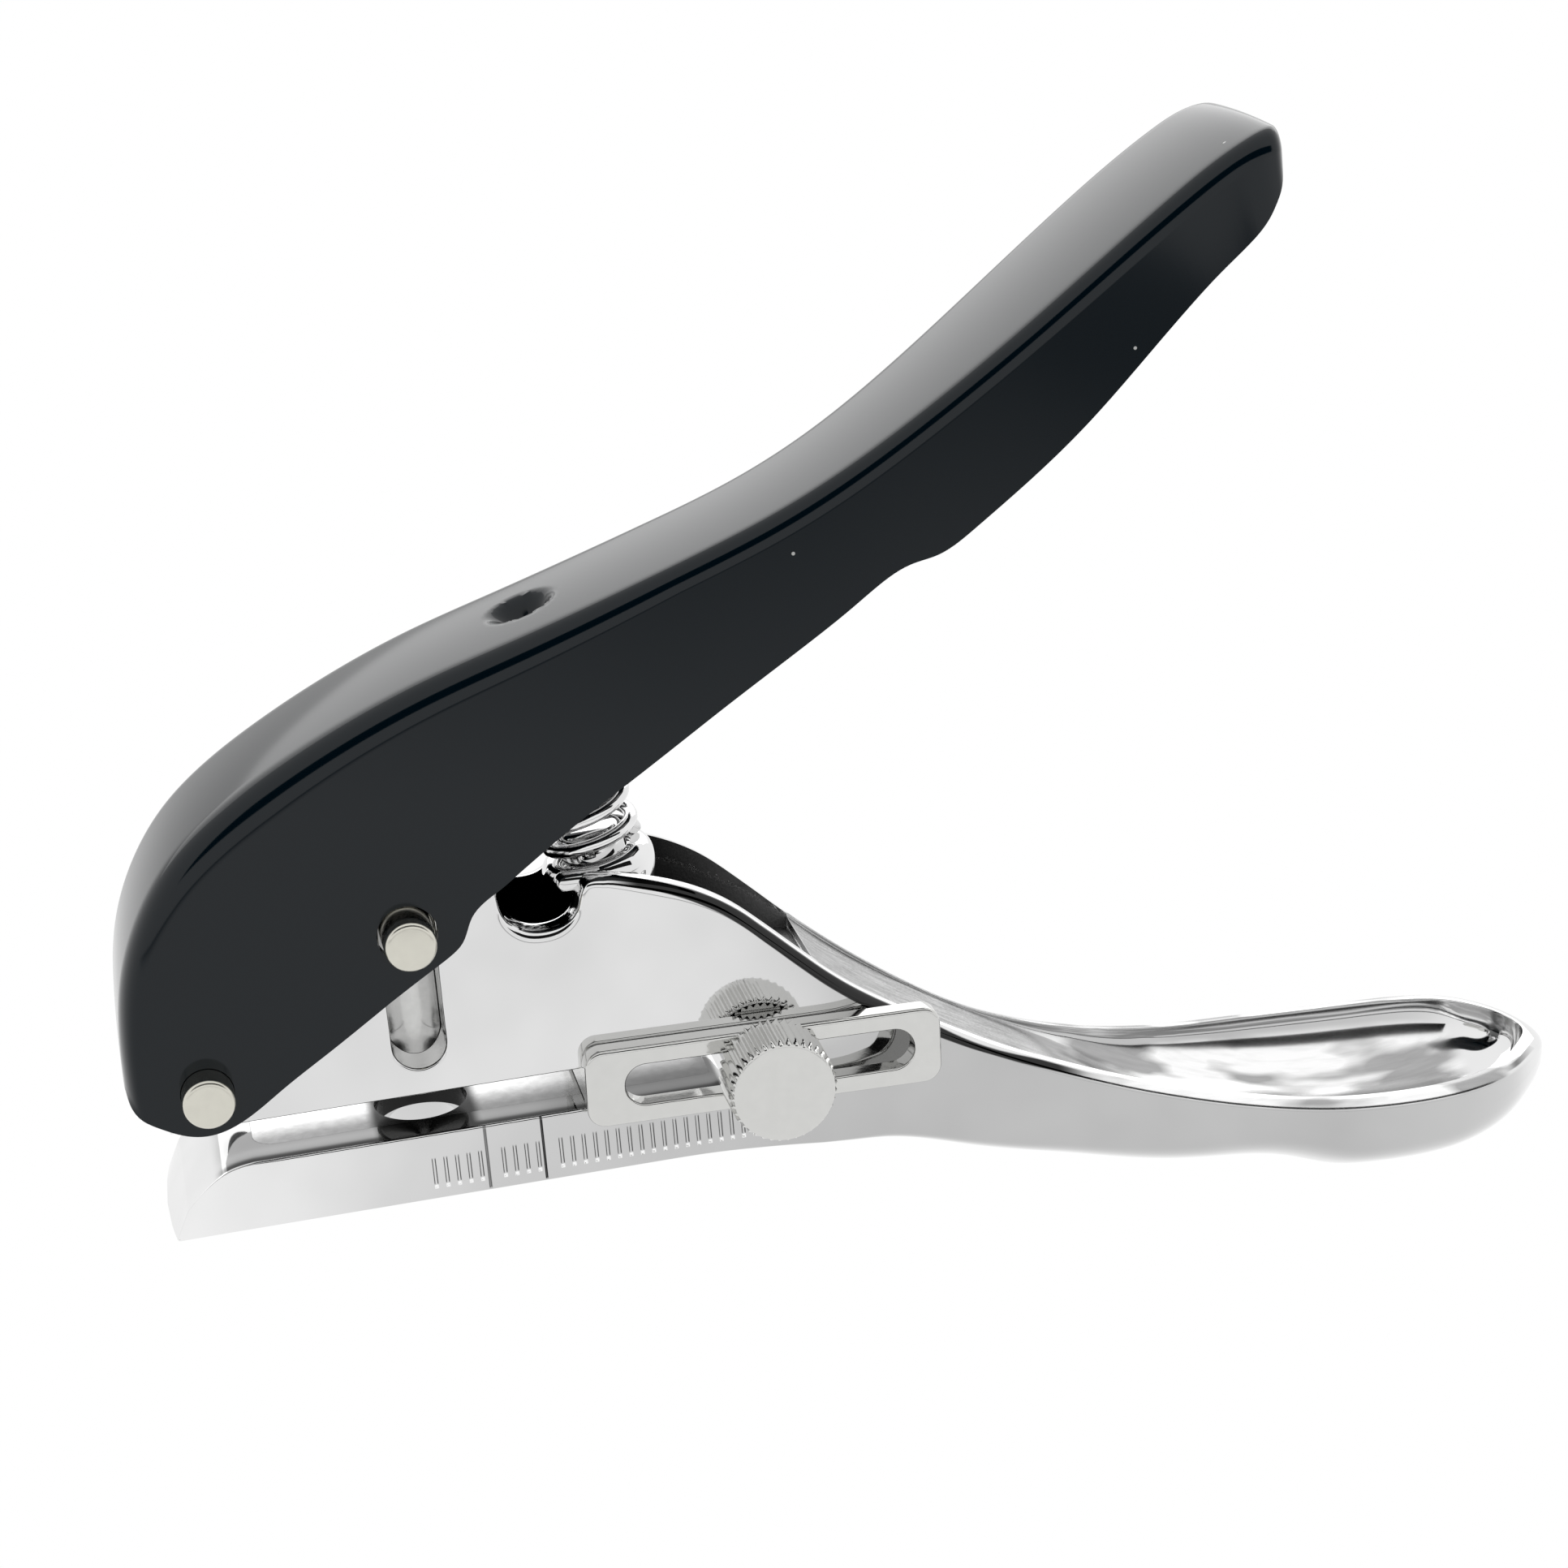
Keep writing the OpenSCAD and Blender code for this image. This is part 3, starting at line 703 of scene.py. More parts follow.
def frame_casting():
    """The casting as one closed skin, whose two parts meet on the joining plane."""
    front, front_faces = front_skin()
    grip, grip_faces = grip_skin(len(front))
    return surface("frame_casting", np.vstack([front, grip]), front_faces + grip_faces, weld=2e-3)


def well_cutter():
    """Space between the cheeks, with a floor that climbs towards the grip and ends in a small step."""
    x = np.array([5.6, 26, 30, 32, 34.9])
    floor = np.array([8.5, 8.5, 8.5, 8.8, 8.3])
    half, above = 5.72, 26
    side = np.stack([np.c_[x, 0 * x + half, z] for z in (floor, 0 * x + above)], 1)
    return loft("well", np.concatenate([side, side[:, ::-1] * np.array([1, -1, 1])], 1))


def unit(degrees):
    """Unit vector at an angle."""
    return np.array([math.cos(math.radians(degrees)), math.sin(math.radians(degrees))])


def stadium(a, b, r, n=24):
    """Outline of a bar of half width r from a to b, counterclockwise."""
    a, b = np.asarray(a, float), np.asarray(b, float)
    along = math.degrees(math.atan2(*(b - a)[::-1]))
    left, right = r * unit(along + 90), r * unit(along - 90)
    return path(arc(a, r, along + 90, along + 270, n), straight(a + right, b + right, 0.8)[1:],
                arc(b, r, along - 90, along + 90, n), straight(b + left, a + left, 0.8)[1:-1])


def rod(name, x, z, y0, y1, r):
    """Plain bar across the punch, for bores."""
    return turned(name, [(0, y0), (r, y0), (r, y1), (0, y1)], (x, 0, z), "y", 64)


SPRING_FOOT, SPRING_HEAD = (17.4, 20.9), (13.7, 41.0)
SPRING_LEAN = math.degrees(math.atan2(SPRING_FOOT[0] - SPRING_HEAD[0], SPRING_HEAD[1] - SPRING_FOOT[1]))


def post():
    """Post under the spring: a bulging collar, a flat seat and a spigot, leaning with the spring."""
    neck, spigot, top, bevel = 4.1, 2.9, 2.0, 0.6
    collar = through([(neck, -5.5), (4.4, -3.9), (4.8, -2.7), (4.95, -1.8), (4.86, -0.9), (4.55, -0.3),
                      (neck, 0)], 0.2)
    profile = path([(0, -13.5), (neck, -13.5), (neck, -8)], collar, [(spigot, 0), (spigot, top - bevel)],
                   arc((spigot - bevel, top - bevel), bevel, 0, 90, 6), [(0, top)])
    return turned("post", profile, (SPRING_FOOT[0], 0, SPRING_FOOT[1]), lean=SPRING_LEAN)


def stub():
    """Small peg with a domed end on the near cheek's inner face, at the notch's corner."""
    r, length, low = 0.95, 3.2, 0.2
    a = np.radians(np.linspace(0, 90, 9))
    profile = np.vstack([np.c_[r * np.sin(a), low - r * np.cos(a)], [(r, length), (0, length)]])
    return turned("stub", profile, (13.75, -5.3, 20.15), "x", 40)


RULER_END, LONG_MARKS = 28, {5: 4.6, 10: 9.5}       # the last millimetre, and where the long marks really are
MARK_LOW, MARK_HIGH, MARK_HALF = -4.95, -2.45, 0.13
LONG_LOW, LONG_HIGH, LONG_HALF = -5.75, -0.35, 0.08
GROOVE = ((0.06, -0.2), (0.03, 0.0), (-0.05, 0.1))      # how far out its outline lies at each depth


def ruler_grooves():
    """Millimetre marks in the near face of the jaw: short grooves with sloping walls and round ends, and
    a line over the full height near 5 and 10. A groove is its stadium outline moved out by d at three
    depths. The ends are a little uneven, low and high by 0.05 times a sine of the count."""
    points, faces, start = [], [], 0
    for i in range(RULER_END + 1):
        at, half = i, MARK_HALF
        low, high = MARK_LOW + 0.05 * math.sin(2.4 * i), MARK_HIGH + 0.05 * math.sin(1.7 * i + 1)
        if i in LONG_MARKS:
            at, low, high, half = LONG_MARKS[i], LONG_LOW, LONG_HIGH, LONG_HALF
        line = stadium((at, low), (at, high), half, 6)
        n, count = outward(line), len(line)
        for d, depth in GROOVE:
            points.append(np.c_[(line + n * d)[:, 0], np.full(count, depth - HALF), (line + n * d)[:, 1]])
        faces += grid_faces(len(GROOVE), count, wrap_cols=True, start=start) + caps(len(GROOVE), count, start)
        start += len(GROOVE) * count
    return surface("ruler", np.vstack(points), faces)


def die_pocket():
    """Room for the die plate in the jaw's top, open at its rear end."""
    corner, half, front, back = 2.02, 4.22, -12.8, 25
    side = half - corner
    plan = path(arc((front, -side), corner, 180, 270, 8), [(back, -half), (back, half)],
                arc((front, side), corner, 90, 180, 8))
    level = np.c_[plan, 0 * plan[:, 0]]
    return loft("pocket", np.stack([level + [0, 0, -2.2], level + [0, 0, 0.5]]))


def make_frame():
    """The casting with its well, slots, bores, pocket and ruler, and the post and the peg on it."""
    body = frame_casting()
    cut(body, well_cutter())
    cut(body, slab("slot", stadium(SLOT_FOOT, PUNCH_PIN, SLOT_R), -HALF, HALF, SIDE_R, flare=1))
    cut(body, slab("short slot", stadium(*SHORT_SLOT, SHORT_R), -HALF, HALF, 0.2, flare=1))
    cut(body, turned("bore", [(0, 1), (BORE_R, 1), (BORE_R, 40), (0, 40)]))
    cut(body, turned("outlet", [(0, -8), (OUTLET_R, -8), (OUTLET_R, -1.5), (0, -1.5)]))
    cut(body, rod("stud hole", *SCREW, -9, 0.8, STUD_HOLE_R))
    cut(body, die_pocket())
    cut(body, ruler_grooves())
    boolean(body, post(), "UNION")
    boolean(body, stub(), "UNION")
    drop_needles(body, 4e-3)
    return body


def drop_needles(body, size):
    """Merges needle-thin triangles, which would shade as lines in the flat sides."""
    work = bmesh.new()
    work.from_mesh(body.data)
    bmesh.ops.dissolve_degenerate(work, dist=size, edges=work.edges)
    work.to_mesh(body.data)
    work.free()
    smooth(body)


# The lever
# rows of (top x, top z, lower x, lower z, half width); the lower points lie beyond the cut edge
LEVER_ROWS = [(-24.75, 6.5, -22.5, 2.5, 9.2), (-24.62, 12, -20, 1.5, 9.2), (-23.75, 18, -17.5, 1, 9.2),
              (-21.65, 23.3, -14.8, 1.8, 9.2), (-18.2, 28.1, -10.8, 4, 9.2), (-14, 31.6, -7.5, 6, 9.2),
              (-8.5, 34.9, -4, 8.5, 9.2), (-3.1, 37.55, 0, 11.5, 9.2), (4.2, 40.45, 7.5, 16.5, 9.2),
              (11.3, 42.65, 15, 22, 9.1), (18.7, 44.95, 22.5, 26.5, 8.85), (26, 47.35, 30, 30, 8.5),
              (33.3, 50, 37.5, 34, 8.35), (40, 53.2, 44, 38.5, 8.45), (46.8, 57.35, 50.5, 42.5, 8.9),
              (55.9, 63.75, 60, 49, 9.75), (63.5, 69.35, 67.5, 57, 10.15), (68.5, 72.9, 72, 61, 10.2),
              (73, 75.75, 75.5, 64.5, 10.15), (75.4, 76.95, 77.2, 66.5, 10.05), (76.9, 77.4, 78.0, 67.9, 9.6),
              (78, 77.4, 78.45, 69.0, 8.8), (78.5, 77.15, 78.65, 69.8, 7.9), (78.85, 76.65, 78.8, 70.4, 6.8),
              (79.05, 75.9, 78.95, 71.0, 4.5), (79.15, 75.2, 79.0, 71.5, 1.5)]
# the cut edge of its sides, from below the nose to above the rear end, closed round what is cut away
LEVER_EDGE = path(
    [(-40, 8.4), (-24.7, 8.4)],
    through([(-24.6, 8.3), (-24.35, 7.3), (-23.5, 6.2), (-21.9, 5.1), (-20.3, 4.3), (-18.6, 3.95),
             (-17, 4.15), (-15, 5.0), (-11.8, 7.1), (-8, 9.5), (-2.1, 13.3)], 0.4),
    through([(-2.1, 13.3), (1.9, 15.75), (3.5, 16.75), (4.4, 17.55), (4.95, 18.6), (5.5, 19.8), (6.4, 20.75),
             (8.1, 21.85), (9.9, 23.1)], 0.4),
    through([(9.9, 23.1), (14.3, 26.1), (21.5, 30.5), (28.8, 34.9), (36, 39.2), (39.6, 41.5), (41.9, 43.1),
             (43.5, 44.1), (45.2, 44.8), (47.2, 45.25), (48.8, 46.0), (50.4, 47.1)], 0.5),
    through([(50.4, 47.1), (54.8, 50.4), (60, 54.7), (65.2, 59.7), (69.4, 63.8), (72.1, 66.2), (74.8, 68.4),
             (76.3, 69.9), (77.3, 71.3), (78.1, 72.8), (78.65, 74.2), (79.4, 75.1), (82, 75.3)], 0.5),
    [(90, 75.3), (90, -20), (-40, -20)])
LEVER_R, REAR_R, SHEET, HOLLOW_END = 3.0, 1.9, 1.3, 77.8
CROWN, CROWN_HALF = 0.3, 9.2
DIMPLE, DIMPLE_DEPTH, DIMPLE_R = (13.2, 43.3), 3.0, 2.9
LEVER_HOLES = ((FRONT_PIN, 2.25), ((0, 19.1), 2.55))    # the second one leaves the punch pin its play
EDGE_ANGLES = np.radians(np.linspace(0, 90, 13))
ACROSS = np.linspace(0, 1, 27)[1:-1]


def lever_skin(name, t=0.0, x_end=None):
    """Lever's outer (t = 0) or inner skin: stations along the top line, moved in by t. Each section
    goes from the lower corner up the side, over an edge whose radius falls from 3 to 1.9 along the
    lever, less t, across a slightly crowned top and down again. Round the dimple the top sinks by
    d (1 - (q / 2.9)^1.5)^1.5."""
    rows = np.array(LEVER_ROWS)
    s = np.r_[0, np.cumsum(np.linalg.norm(np.diff(rows[:, :2], axis=0), axis=1))]
    dense = np.unique(np.r_[np.arange(0, s[-6], 0.35), np.arange(s[-6], s[-1], 0.12), s[-1]])
    table = cubic(s, rows, dense)
    along = np.gradient(table[:, :2], dense, axis=0)
    along /= np.linalg.norm(along, axis=1)[:, None]
    down = np.c_[along[:, 1], -along[:, 0]]
    if x_end:
        keep = table[:, 0] < x_end
        table, down = table[keep], down[keep]
    top, low, half = table[:, :2] + down * t, table[:, 2:4] + down * t, table[:, 4] - t
    up = top - low
    span = np.linalg.norm(up, axis=1)
    up /= span[:, None]
    r = np.interp(table[:, 0], [-10, 25], [LEVER_R, REAR_R]) - t
    r = np.minimum(r, np.minimum(half * 0.9, span * 0.4))
    edge = half[:, None] - r[:, None] * (1 - np.cos(EDGE_ANGLES))
    y = np.hstack([half[:, None], edge, (half - r)[:, None] * (1 - 2 * ACROSS)])
    flat = np.zeros((len(half), len(ACROSS)))
    sink = np.hstack([span[:, None], r[:, None] * (1 - np.sin(EDGE_ANGLES)), flat])
    last = len(EDGE_ANGLES)
    y = np.hstack([y, -y[:, last::-1]])
    sink = np.hstack([sink, sink[:, last::-1]])
    on_top = sink < span[:, None] - 1e-6
    sink = sink + CROWN * np.minimum(np.abs(y) / CROWN_HALF, 1) ** 2 * on_top
    x, z = top[:, :1] - up[:, :1] * sink, top[:, 1:] - up[:, 1:] * sink
    q = np.clip(np.hypot((x - DIMPLE[0]) / 1.03, y) / DIMPLE_R, 0, 1)
    dip = DIMPLE_DEPTH * (1 - q ** 1.5) ** 1.5 * (sink < 2)
    return loft(name, np.stack([x + down[:, :1] * dip, y, z + down[:, 1:] * dip], -1))


def make_lever():
    """The enamelled channel: outer skin less the inner one, cut along its edge, with two pin holes."""
    shell = lever_skin("lever_shell")
    cut(shell, lever_skin("hollow", SHEET, HOLLOW_END))
    cut(shell, slab("edge", LEVER_EDGE[::-1], -14, 14, 0.01, flare=1))
    for (x, z), r in LEVER_HOLES:
        cut(shell, rod("pin hole", x, z, -12, 12, r))
    return shell


# Pins, spring, gauge and knob
def cross_pin(name, x, z):
    """Plain pin with small rounded bevels."""
    a = np.radians(np.linspace(0, 90, 6))
    edge = np.c_[PIN_R - PIN_BEVEL * (1 - np.cos(a)), PIN_HALF - PIN_BEVEL * (1 - np.sin(a))]
    profile = np.vstack([[(0, -PIN_HALF)], (edge * [1, -1])[::-1], edge, [(0, PIN_HALF)]])
    return turned(name, profile, (x, 0, z), "y")


def return_spring():
    """Round wire of 1.2 on a helix that is close at both ends, as a tube of rings square to the run."""
    wire, turns, outer, gap, steps, sides = 1.2, 8, 8.9, 0.25, 56, 14
    foot, head = np.array([SPRING_FOOT[0], 0, SPRING_FOOT[1]]), np.array([SPRING_HEAD[0], 0, SPRING_HEAD[1]])
    axis = head - foot
    length = np.linalg.norm(axis)
    axis /= length
    across = np.array([axis[2], 0, -axis[0]])
    side = np.cross(axis, across)
    t = np.linspace(0, turns, turns * steps + 1)
    close, coil = wire + gap, (outer - wire) / 2
    rest = length - wire
    climb = wire / 2 + np.interp(t, [0, 1, turns - 1, turns], [0, close, rest - close, rest])
    a = 2 * np.pi * t[:, None]
    centre = foot + coil * (np.cos(a) * across + np.sin(a) * side) + climb[:, None] * axis
    run = np.gradient(centre, axis=0)
    run /= np.linalg.norm(run, axis=1)[:, None]
    u = np.cross(run, axis)
    u /= np.linalg.norm(u, axis=1)[:, None]
    w = np.cross(run, u)
    a = np.linspace(0, 2 * np.pi, sides, endpoint=False)[None, :, None]
    rings = centre[:, None] + wire / 2 * (np.cos(a) * u[:, None] + np.sin(a) * w[:, None])
    return loft("spring_wire", rings, crease=50)


GAUGE_X, GAUGE_LEN, GAUGE_H = 13.4, 31.3, 7.0
GAUGE_FACE, GAUGE_BACK, GAUGE_LEAN = -9.6, -7.6, 1.4
GAUGE_R, GAUGE_SLOT = 1.6, (3.4, 28.9, 3.7)         # corner radius; the slot's ends and width


def gauge_rim():
    """Side outline of the gauge's plate: a rectangle with round corners, with 0 at its front end."""
    r, x1, z1 = GAUGE_R, GAUGE_LEN - GAUGE_R, GAUGE_H / 2 - GAUGE_R
    return path(arc((r, -z1), r, 180, 270, 10), straight((r, -z1 - r), (x1, -z1 - r), 1),
                arc((x1, -z1), r, 270, 360, 10), straight((x1 + r, -z1), (x1 + r, z1), 1),
                arc((x1, z1), r, 0, 90, 10), straight((x1, z1 + r), (r, z1 + r), 1),
                arc((r, z1), r, 90, 180, 10))


def on_screw(outline):
    """The gauge's own outline, leaned about the screw and put in its place."""
    lean = math.radians(-GAUGE_LEAN)
    turn = np.array([[math.cos(lean), math.sin(lean)], [-math.sin(lean), math.cos(lean)]])
    return (np.asarray(outline) + [GAUGE_X - SCREW[0], 0]) @ turn + SCREW


def gauge_lip():
    """The lip: the outline in plan of a sheet that bends into the throat, raised between two levels with
    small bevels."""
    corners = [(15.6, -9.5), (15.6, -8.0), (14.9, -7.4), (14.9, 6.6), (13.5, 6.6)]
    bend = path(arc((15.1, -7.9), 1.6, 180, 270, 10), corners)
    n = outward(bend)
    levels = ((0.45, 0.25), (0.45, 0.2), (0.7, 0), (2.95, 0), (3.2, 0.2), (3.2, 0.25))
    return loft("lip", np.stack([np.c_[bend - n * inset, np.full(len(bend), z)] for z, inset in levels]))


def gauge():
    """Depth gauge: slotted plate with rounded edges, and a lip turned into the throat."""
    plate = slab("depth_gauge", on_screw(gauge_rim()), GAUGE_FACE, GAUGE_BACK, 0.35)
    start, end, r = GAUGE_SLOT[0], GAUGE_SLOT[1], GAUGE_SLOT[2] / 2
    slot = on_screw(stadium((start + r, 0), (end - r, 0), r))
    cut(plate, slab("gauge slot", slot, GAUGE_FACE, GAUGE_BACK, 0.25, flare=1))
    boolean(plate, gauge_lip(), "UNION")
    return plate


KNOB_R, KNOB_BACK, KNOB_LONG, STUD_R, STUD_LONG = 4.7, -9.65, 5.5, 1.5, 6.1
GROOVES, GROOVE_DEEP = 40, 0.36


def knob():
    """Thumb screw: turned knob whose side is drawn in by 40 rounded grooves, each 0.36 deep times
    (0.5 - 0.5 cos a)^0.8, and its stud."""
    r, face = KNOB_R, -KNOB_LONG
    a = np.radians(np.linspace(0, 90, 5))
    profile = np.vstack([
        [(0, STUD_LONG), (STUD_R, STUD_LONG), (STUD_R, 0), (2.6, 0), (r - 0.45, 0)],
        np.c_[r - 0.4 + 0.4 * np.sin(a), -0.4 + 0.4 * np.cos(a)],
        [(r, z) for z in (-1.2, -2.2, -3.2, -4.2, -4.85)],
        [(r - 0.1, -5.1), (r - 0.32, -5.42), (r - 0.5, face), (r - 0.56, face), (2, face), (0, face)]])
    sides = GROOVES * 10
    a = np.linspace(0, 2 * np.pi, sides, endpoint=False)
    groove = GROOVE_DEEP * (0.5 - 0.5 * np.cos(GROOVES * a)) ** 0.8
    share = np.interp(profile[:, 1], [-5.35, -5.0, -0.4, 0.0], [0, 1, 1, 1]) * (profile[:, 0] > r - 0.42)
    out = profile[:, 0][:, None] - share[:, None] * groove[None, :]
    across = KNOB_BACK + profile[:, 1][:, None] + 0 * out
    points = np.stack([SCREW[0] + out * np.cos(a), across, SCREW[1] + out * np.sin(a)], -1)
    faces = grid_faces(len(profile), sides, wrap_cols=True)
    return surface("thumb_knob", points.reshape(-1, 3), faces, crease=40)


# Effects that several finishes use
def jaw_place():
    """Object coordinates turned back from the stand: Place is the point in the jaw's frame in
    millimetres, and X, Y and Z are its parts."""
    tree, given, found = effect("jaw place", {"Object": "Vector"},
                                {"X": "Float", "Y": "Float", "Z": "Float", "Place": "Vector"})
    shift = node(tree, "ShaderNodeVectorMath", operation="SUBTRACT")
    shift.inputs[1].default_value = tuple(v * METRES for v in STAND.translation)
    turn = node(tree, "ShaderNodeVectorRotate", rotation_type="Y_AXIS", Angle=TILT)
    big = node(tree, "ShaderNodeVectorMath", operation="SCALE", Scale=1 / METRES)
    parts = node(tree, "ShaderNodeSeparateXYZ")
    feed(given["Object"], shift.inputs[0])
    tree.links.new(shift.outputs["Vector"], turn.inputs["Vector"])
    tree.links.new(turn.outputs["Vector"], big.inputs[0])
    tree.links.new(big.outputs["Vector"], parts.inputs[0])
    tree.links.new(big.outputs["Vector"], found.inputs["Place"])
    for key in "XYZ":
        tree.links.new(parts.outputs[key], found.inputs[key])
    return tree


def speckle():
    """Cloudy noise on a place in millimetres; a stretch below 1 draws it out along that axis."""
    tree, given, found = effect("speckle", {"Place": "Vector", "Stretch": "Vector", "Scale": "Float",
                                            "Detail": "Float", "Roughness": "Float"}, {"Speckle": "Float"})
    drawn = node(tree, "ShaderNodeVectorMath", operation="MULTIPLY")
    feed(given["Place"], drawn.inputs[0])
    feed(given["Stretch"], drawn.inputs[1])
    noise = node(tree, "ShaderNodeTexNoise")
    tree.links.new(drawn.outputs["Vector"], noise.inputs["Vector"])
    for key in ("Scale", "Detail", "Roughness"):
        feed(given[key], noise.inputs[key])
    tree.links.new(noise.outputs[0], found.inputs["Speckle"])
    return tree


def uneven_metal():
    """Patches about a millimetre wide that fade Dark into Light and Smooth into Rough, and a finer
    grain for a bump."""
    tree, given, found = effect("uneven metal", {"Object": "Vector", "Dark": "Color", "Light": "Color",
                                                 "Smooth": "Float", "Rough": "Float"},
                                {"Colour": "Color", "Roughness": "Float", "Grain": "Float"})
    patches, grain = (node(tree, "ShaderNodeTexNoise", Scale=scale, Detail=detail) for scale, detail in
                      ((900, 3), (2500, 4)))
    for noise in (patches, grain):
        feed(given["Object"], noise.inputs["Vector"])
    patch = Value(tree, patches.outputs[0])
    colour = between_colours(remap(patch, 0.35, 0.65, 0, 1), given["Dark"], given["Light"])
    feed(colour, found.inputs["Colour"])
    feed(remap(patch, 0.3, 0.7, given["Smooth"], given["Rough"]), found.inputs["Roughness"])
    tree.links.new(grain.outputs[0], found.inputs["Grain"])
    return tree


JAW_PLACE, SPECKLE, UNEVEN_METAL = jaw_place(), speckle(), uneven_metal()


def speckled(place_mm, scale, detail, stretch=(1, 1, 1), roughness=0.5):
    """The speckle effect in the place's own material."""
    return use(SPECKLE, place_mm.tree, Place=place_mm, Stretch=stretch, Scale=scale, Detail=detail,
               Roughness=roughness)["Speckle"]


def bump(height, strength, deep, shader):
    """A bump from a height, on the shader's normal; deep is in metres."""
    raised = node(height.tree, "ShaderNodeBump", Strength=strength, Distance=deep)
    feed(height, raised.inputs["Height"])
    height.tree.links.new(raised.outputs[0], shader.inputs["Normal"])


# Finishes
def material(name, **plain):
    """A new material, its tree and its shader, with the shader's plain numbers set."""
    finish = bpy.data.materials.new(name)
    finish.use_nodes = True
    shader = finish.node_tree.nodes["Principled BSDF"]
    for key, value in plain.items():
        shader.inputs[key].default_value = value
    return finish, finish.node_tree, shader


def metal(name, colour, rough, vary, raised=0.0):
    """Bare or plated metal: colour and roughness a little uneven, and a fine bump where it isn't polished."""
    finish, tree, shader = material(name, Metallic=1.0)
    dark = [part * (1 - vary) for part in colour]
    uneven = use(UNEVEN_METAL, tree, Object=on_object(tree), Dark=(*dark, 1), Light=(*colour, 1),
                 Smooth=rough * 0.85, Rough=rough * 1.2)
    feed(uneven["Colour"], shader.inputs["Base Color"])
    feed(uneven["Roughness"], shader.inputs["Roughness"])
    if raised:
        bump(uneven["Grain"], raised, 0.00005, shader)
    return finish


class CastingPlace:
    """What the casting's tones go by: the place in the jaw's frame, how far the face looks sideways
    and up, and the noises on it."""

    def __init__(self, tree):
        jaw = use(JAW_PLACE, tree, Object=on_object(tree))
        self.x, self.y, self.z, self.place = jaw["X"], jaw["Y"], jaw["Z"], jaw["Place"]
        self.wide = abs(self.y)
        looks = node(tree, "ShaderNodeSeparateXYZ")
        tree.links.new(node(tree, "ShaderNodeNewGeometry").outputs["Normal"], looks.inputs[0])
        self.sideways = rise(abs(Value(tree, looks.outputs["Y"])), 0.55, 0.95)
        self.up = Value(tree, looks.outputs["Z"])
        self.upward = rise(self.up, 0.3, 0.6)
        self.cloud = speckled(self.place, 0.09, 2.0)
        self.streak = speckled(self.place, 1.0, 3.0, stretch=(0.25, 2.2, 0.6))
        self.grain = speckled(self.place, 4.5, 4.0)


def painted_side_reflections(at):
    """Side faces, painted with the reflections the chrome shows: an even cheek, a jaw that darkens towards
    the grip, a grip that lightens again; faces that don't look sideways get 0.8.
    """
    # painted reflections along the lower side, and an even upper cheek
    low_side = curve(at.x, [(-25, 0.85), (-14, 0.81), (-2, 0.66), (18, 0.56), (30, 0.52), (45, 0.5),
                            (60, 0.51), (80, 0.5), (98, 0.6), (110, 0.66)])
    side = blend(rise(at.z, 1.5, 4.5) * fall(at.x, 26, 42), low_side, 0.72)
    return blend(at.sideways, 0.8, side) * remap(at.cloud, 0.3, 0.7, 0.95, 1.05)


# each of these gives the share of a place that it covers, and its tone there
def rim_dark_reflection(at):
    """The painted dark reflection that the rim's outer edge picks up, strongest from the cheek's back to the
    grip.
    """
    lift = 15.0
    rim = curve(at.x, [(x, z + lift) for x, z in RIM[:-1]], 40) - lift
    below = (rim - at.z) * curve(at.x, [(15, 1.0), (21, 0.96), (26, 0.83), (32, 0.72), (38, 0.8),
                                        (46, 0.86), (54, 0.92), (65, 0.97), (105, 1.0)])
    width = curve(at.x, [(12, 0.1), (20, 0.5), (30, 0.85), (42, 0.9), (52, 0.6), (64, 0.35), (105, 0.25)])
    share = rise(below, 0.1, 0.2) * fall(below - width, 0.12, 0.24) * fall(at.y, -5.2, -5.0)
    # the rim's painted dark reflection, nearly black
    return share * rise(at.x, 16.5, 20.0) * fall(at.x, 97, 103), 0.035


def channel_floor(at):
    """The grained floor of the grip's channel, as far as its walls begin."""
    wall = curve(at.x, [(30, 6.2), (36, 6.1), (42, 4.95), (46, 4.25), (50, 4.1), (54, 4.45), (60, 5.3)], 10)
    share = rise(at.x, 34.8, 35.1) * fall(at.x, 53, 59) * at.upward * fall(at.wide - wall, -0.12, 0.02)
    return share, remap(at.streak, 0.3, 0.7, 0.3, 0.5) * remap(at.grain, 0.3, 0.7, 0.8, 1.2)


def shaded_bare_well(at):
    """The bare inside of the spring's well, painted nearly black as shade below an uneven border under the
    rims; the post stays bright.
    """
    border = curve(at.x, [(5, 19.2), (14, 18.9), (19, 18.6), (24, 16.8), (28, 14.6), (36, 8.6)], 24)
    border = border + remap(at.grain, 0.3, 0.7, -0.35, 0.35)
    from_axis = at.x + (at.z - SPRING_FOOT[1]) * math.tan(math.radians(SPRING_LEAN)) - SPRING_FOOT[0]
    post_skin = fall(distance(from_axis, at.wide), 5.1, 5.3) * rise(at.z, 13.0, 16.0)
    share = rise(at.x, 5.3, 5.5) * fall(at.x, 34.75, 34.95) * fall(at.wide, 5.74, 5.78)
    share = share * rise(at.z, 4.0, 4.3) * fall(at.z - border, -0.15, 0.15) * (1 - post_skin)
    # painted shade: almost black at the front of the well, lighter towards the grip
    return share, curve(at.x, [(5, 0.01), (18, 0.012), (24, 0.05), (30, 0.14), (36, 0.3)])


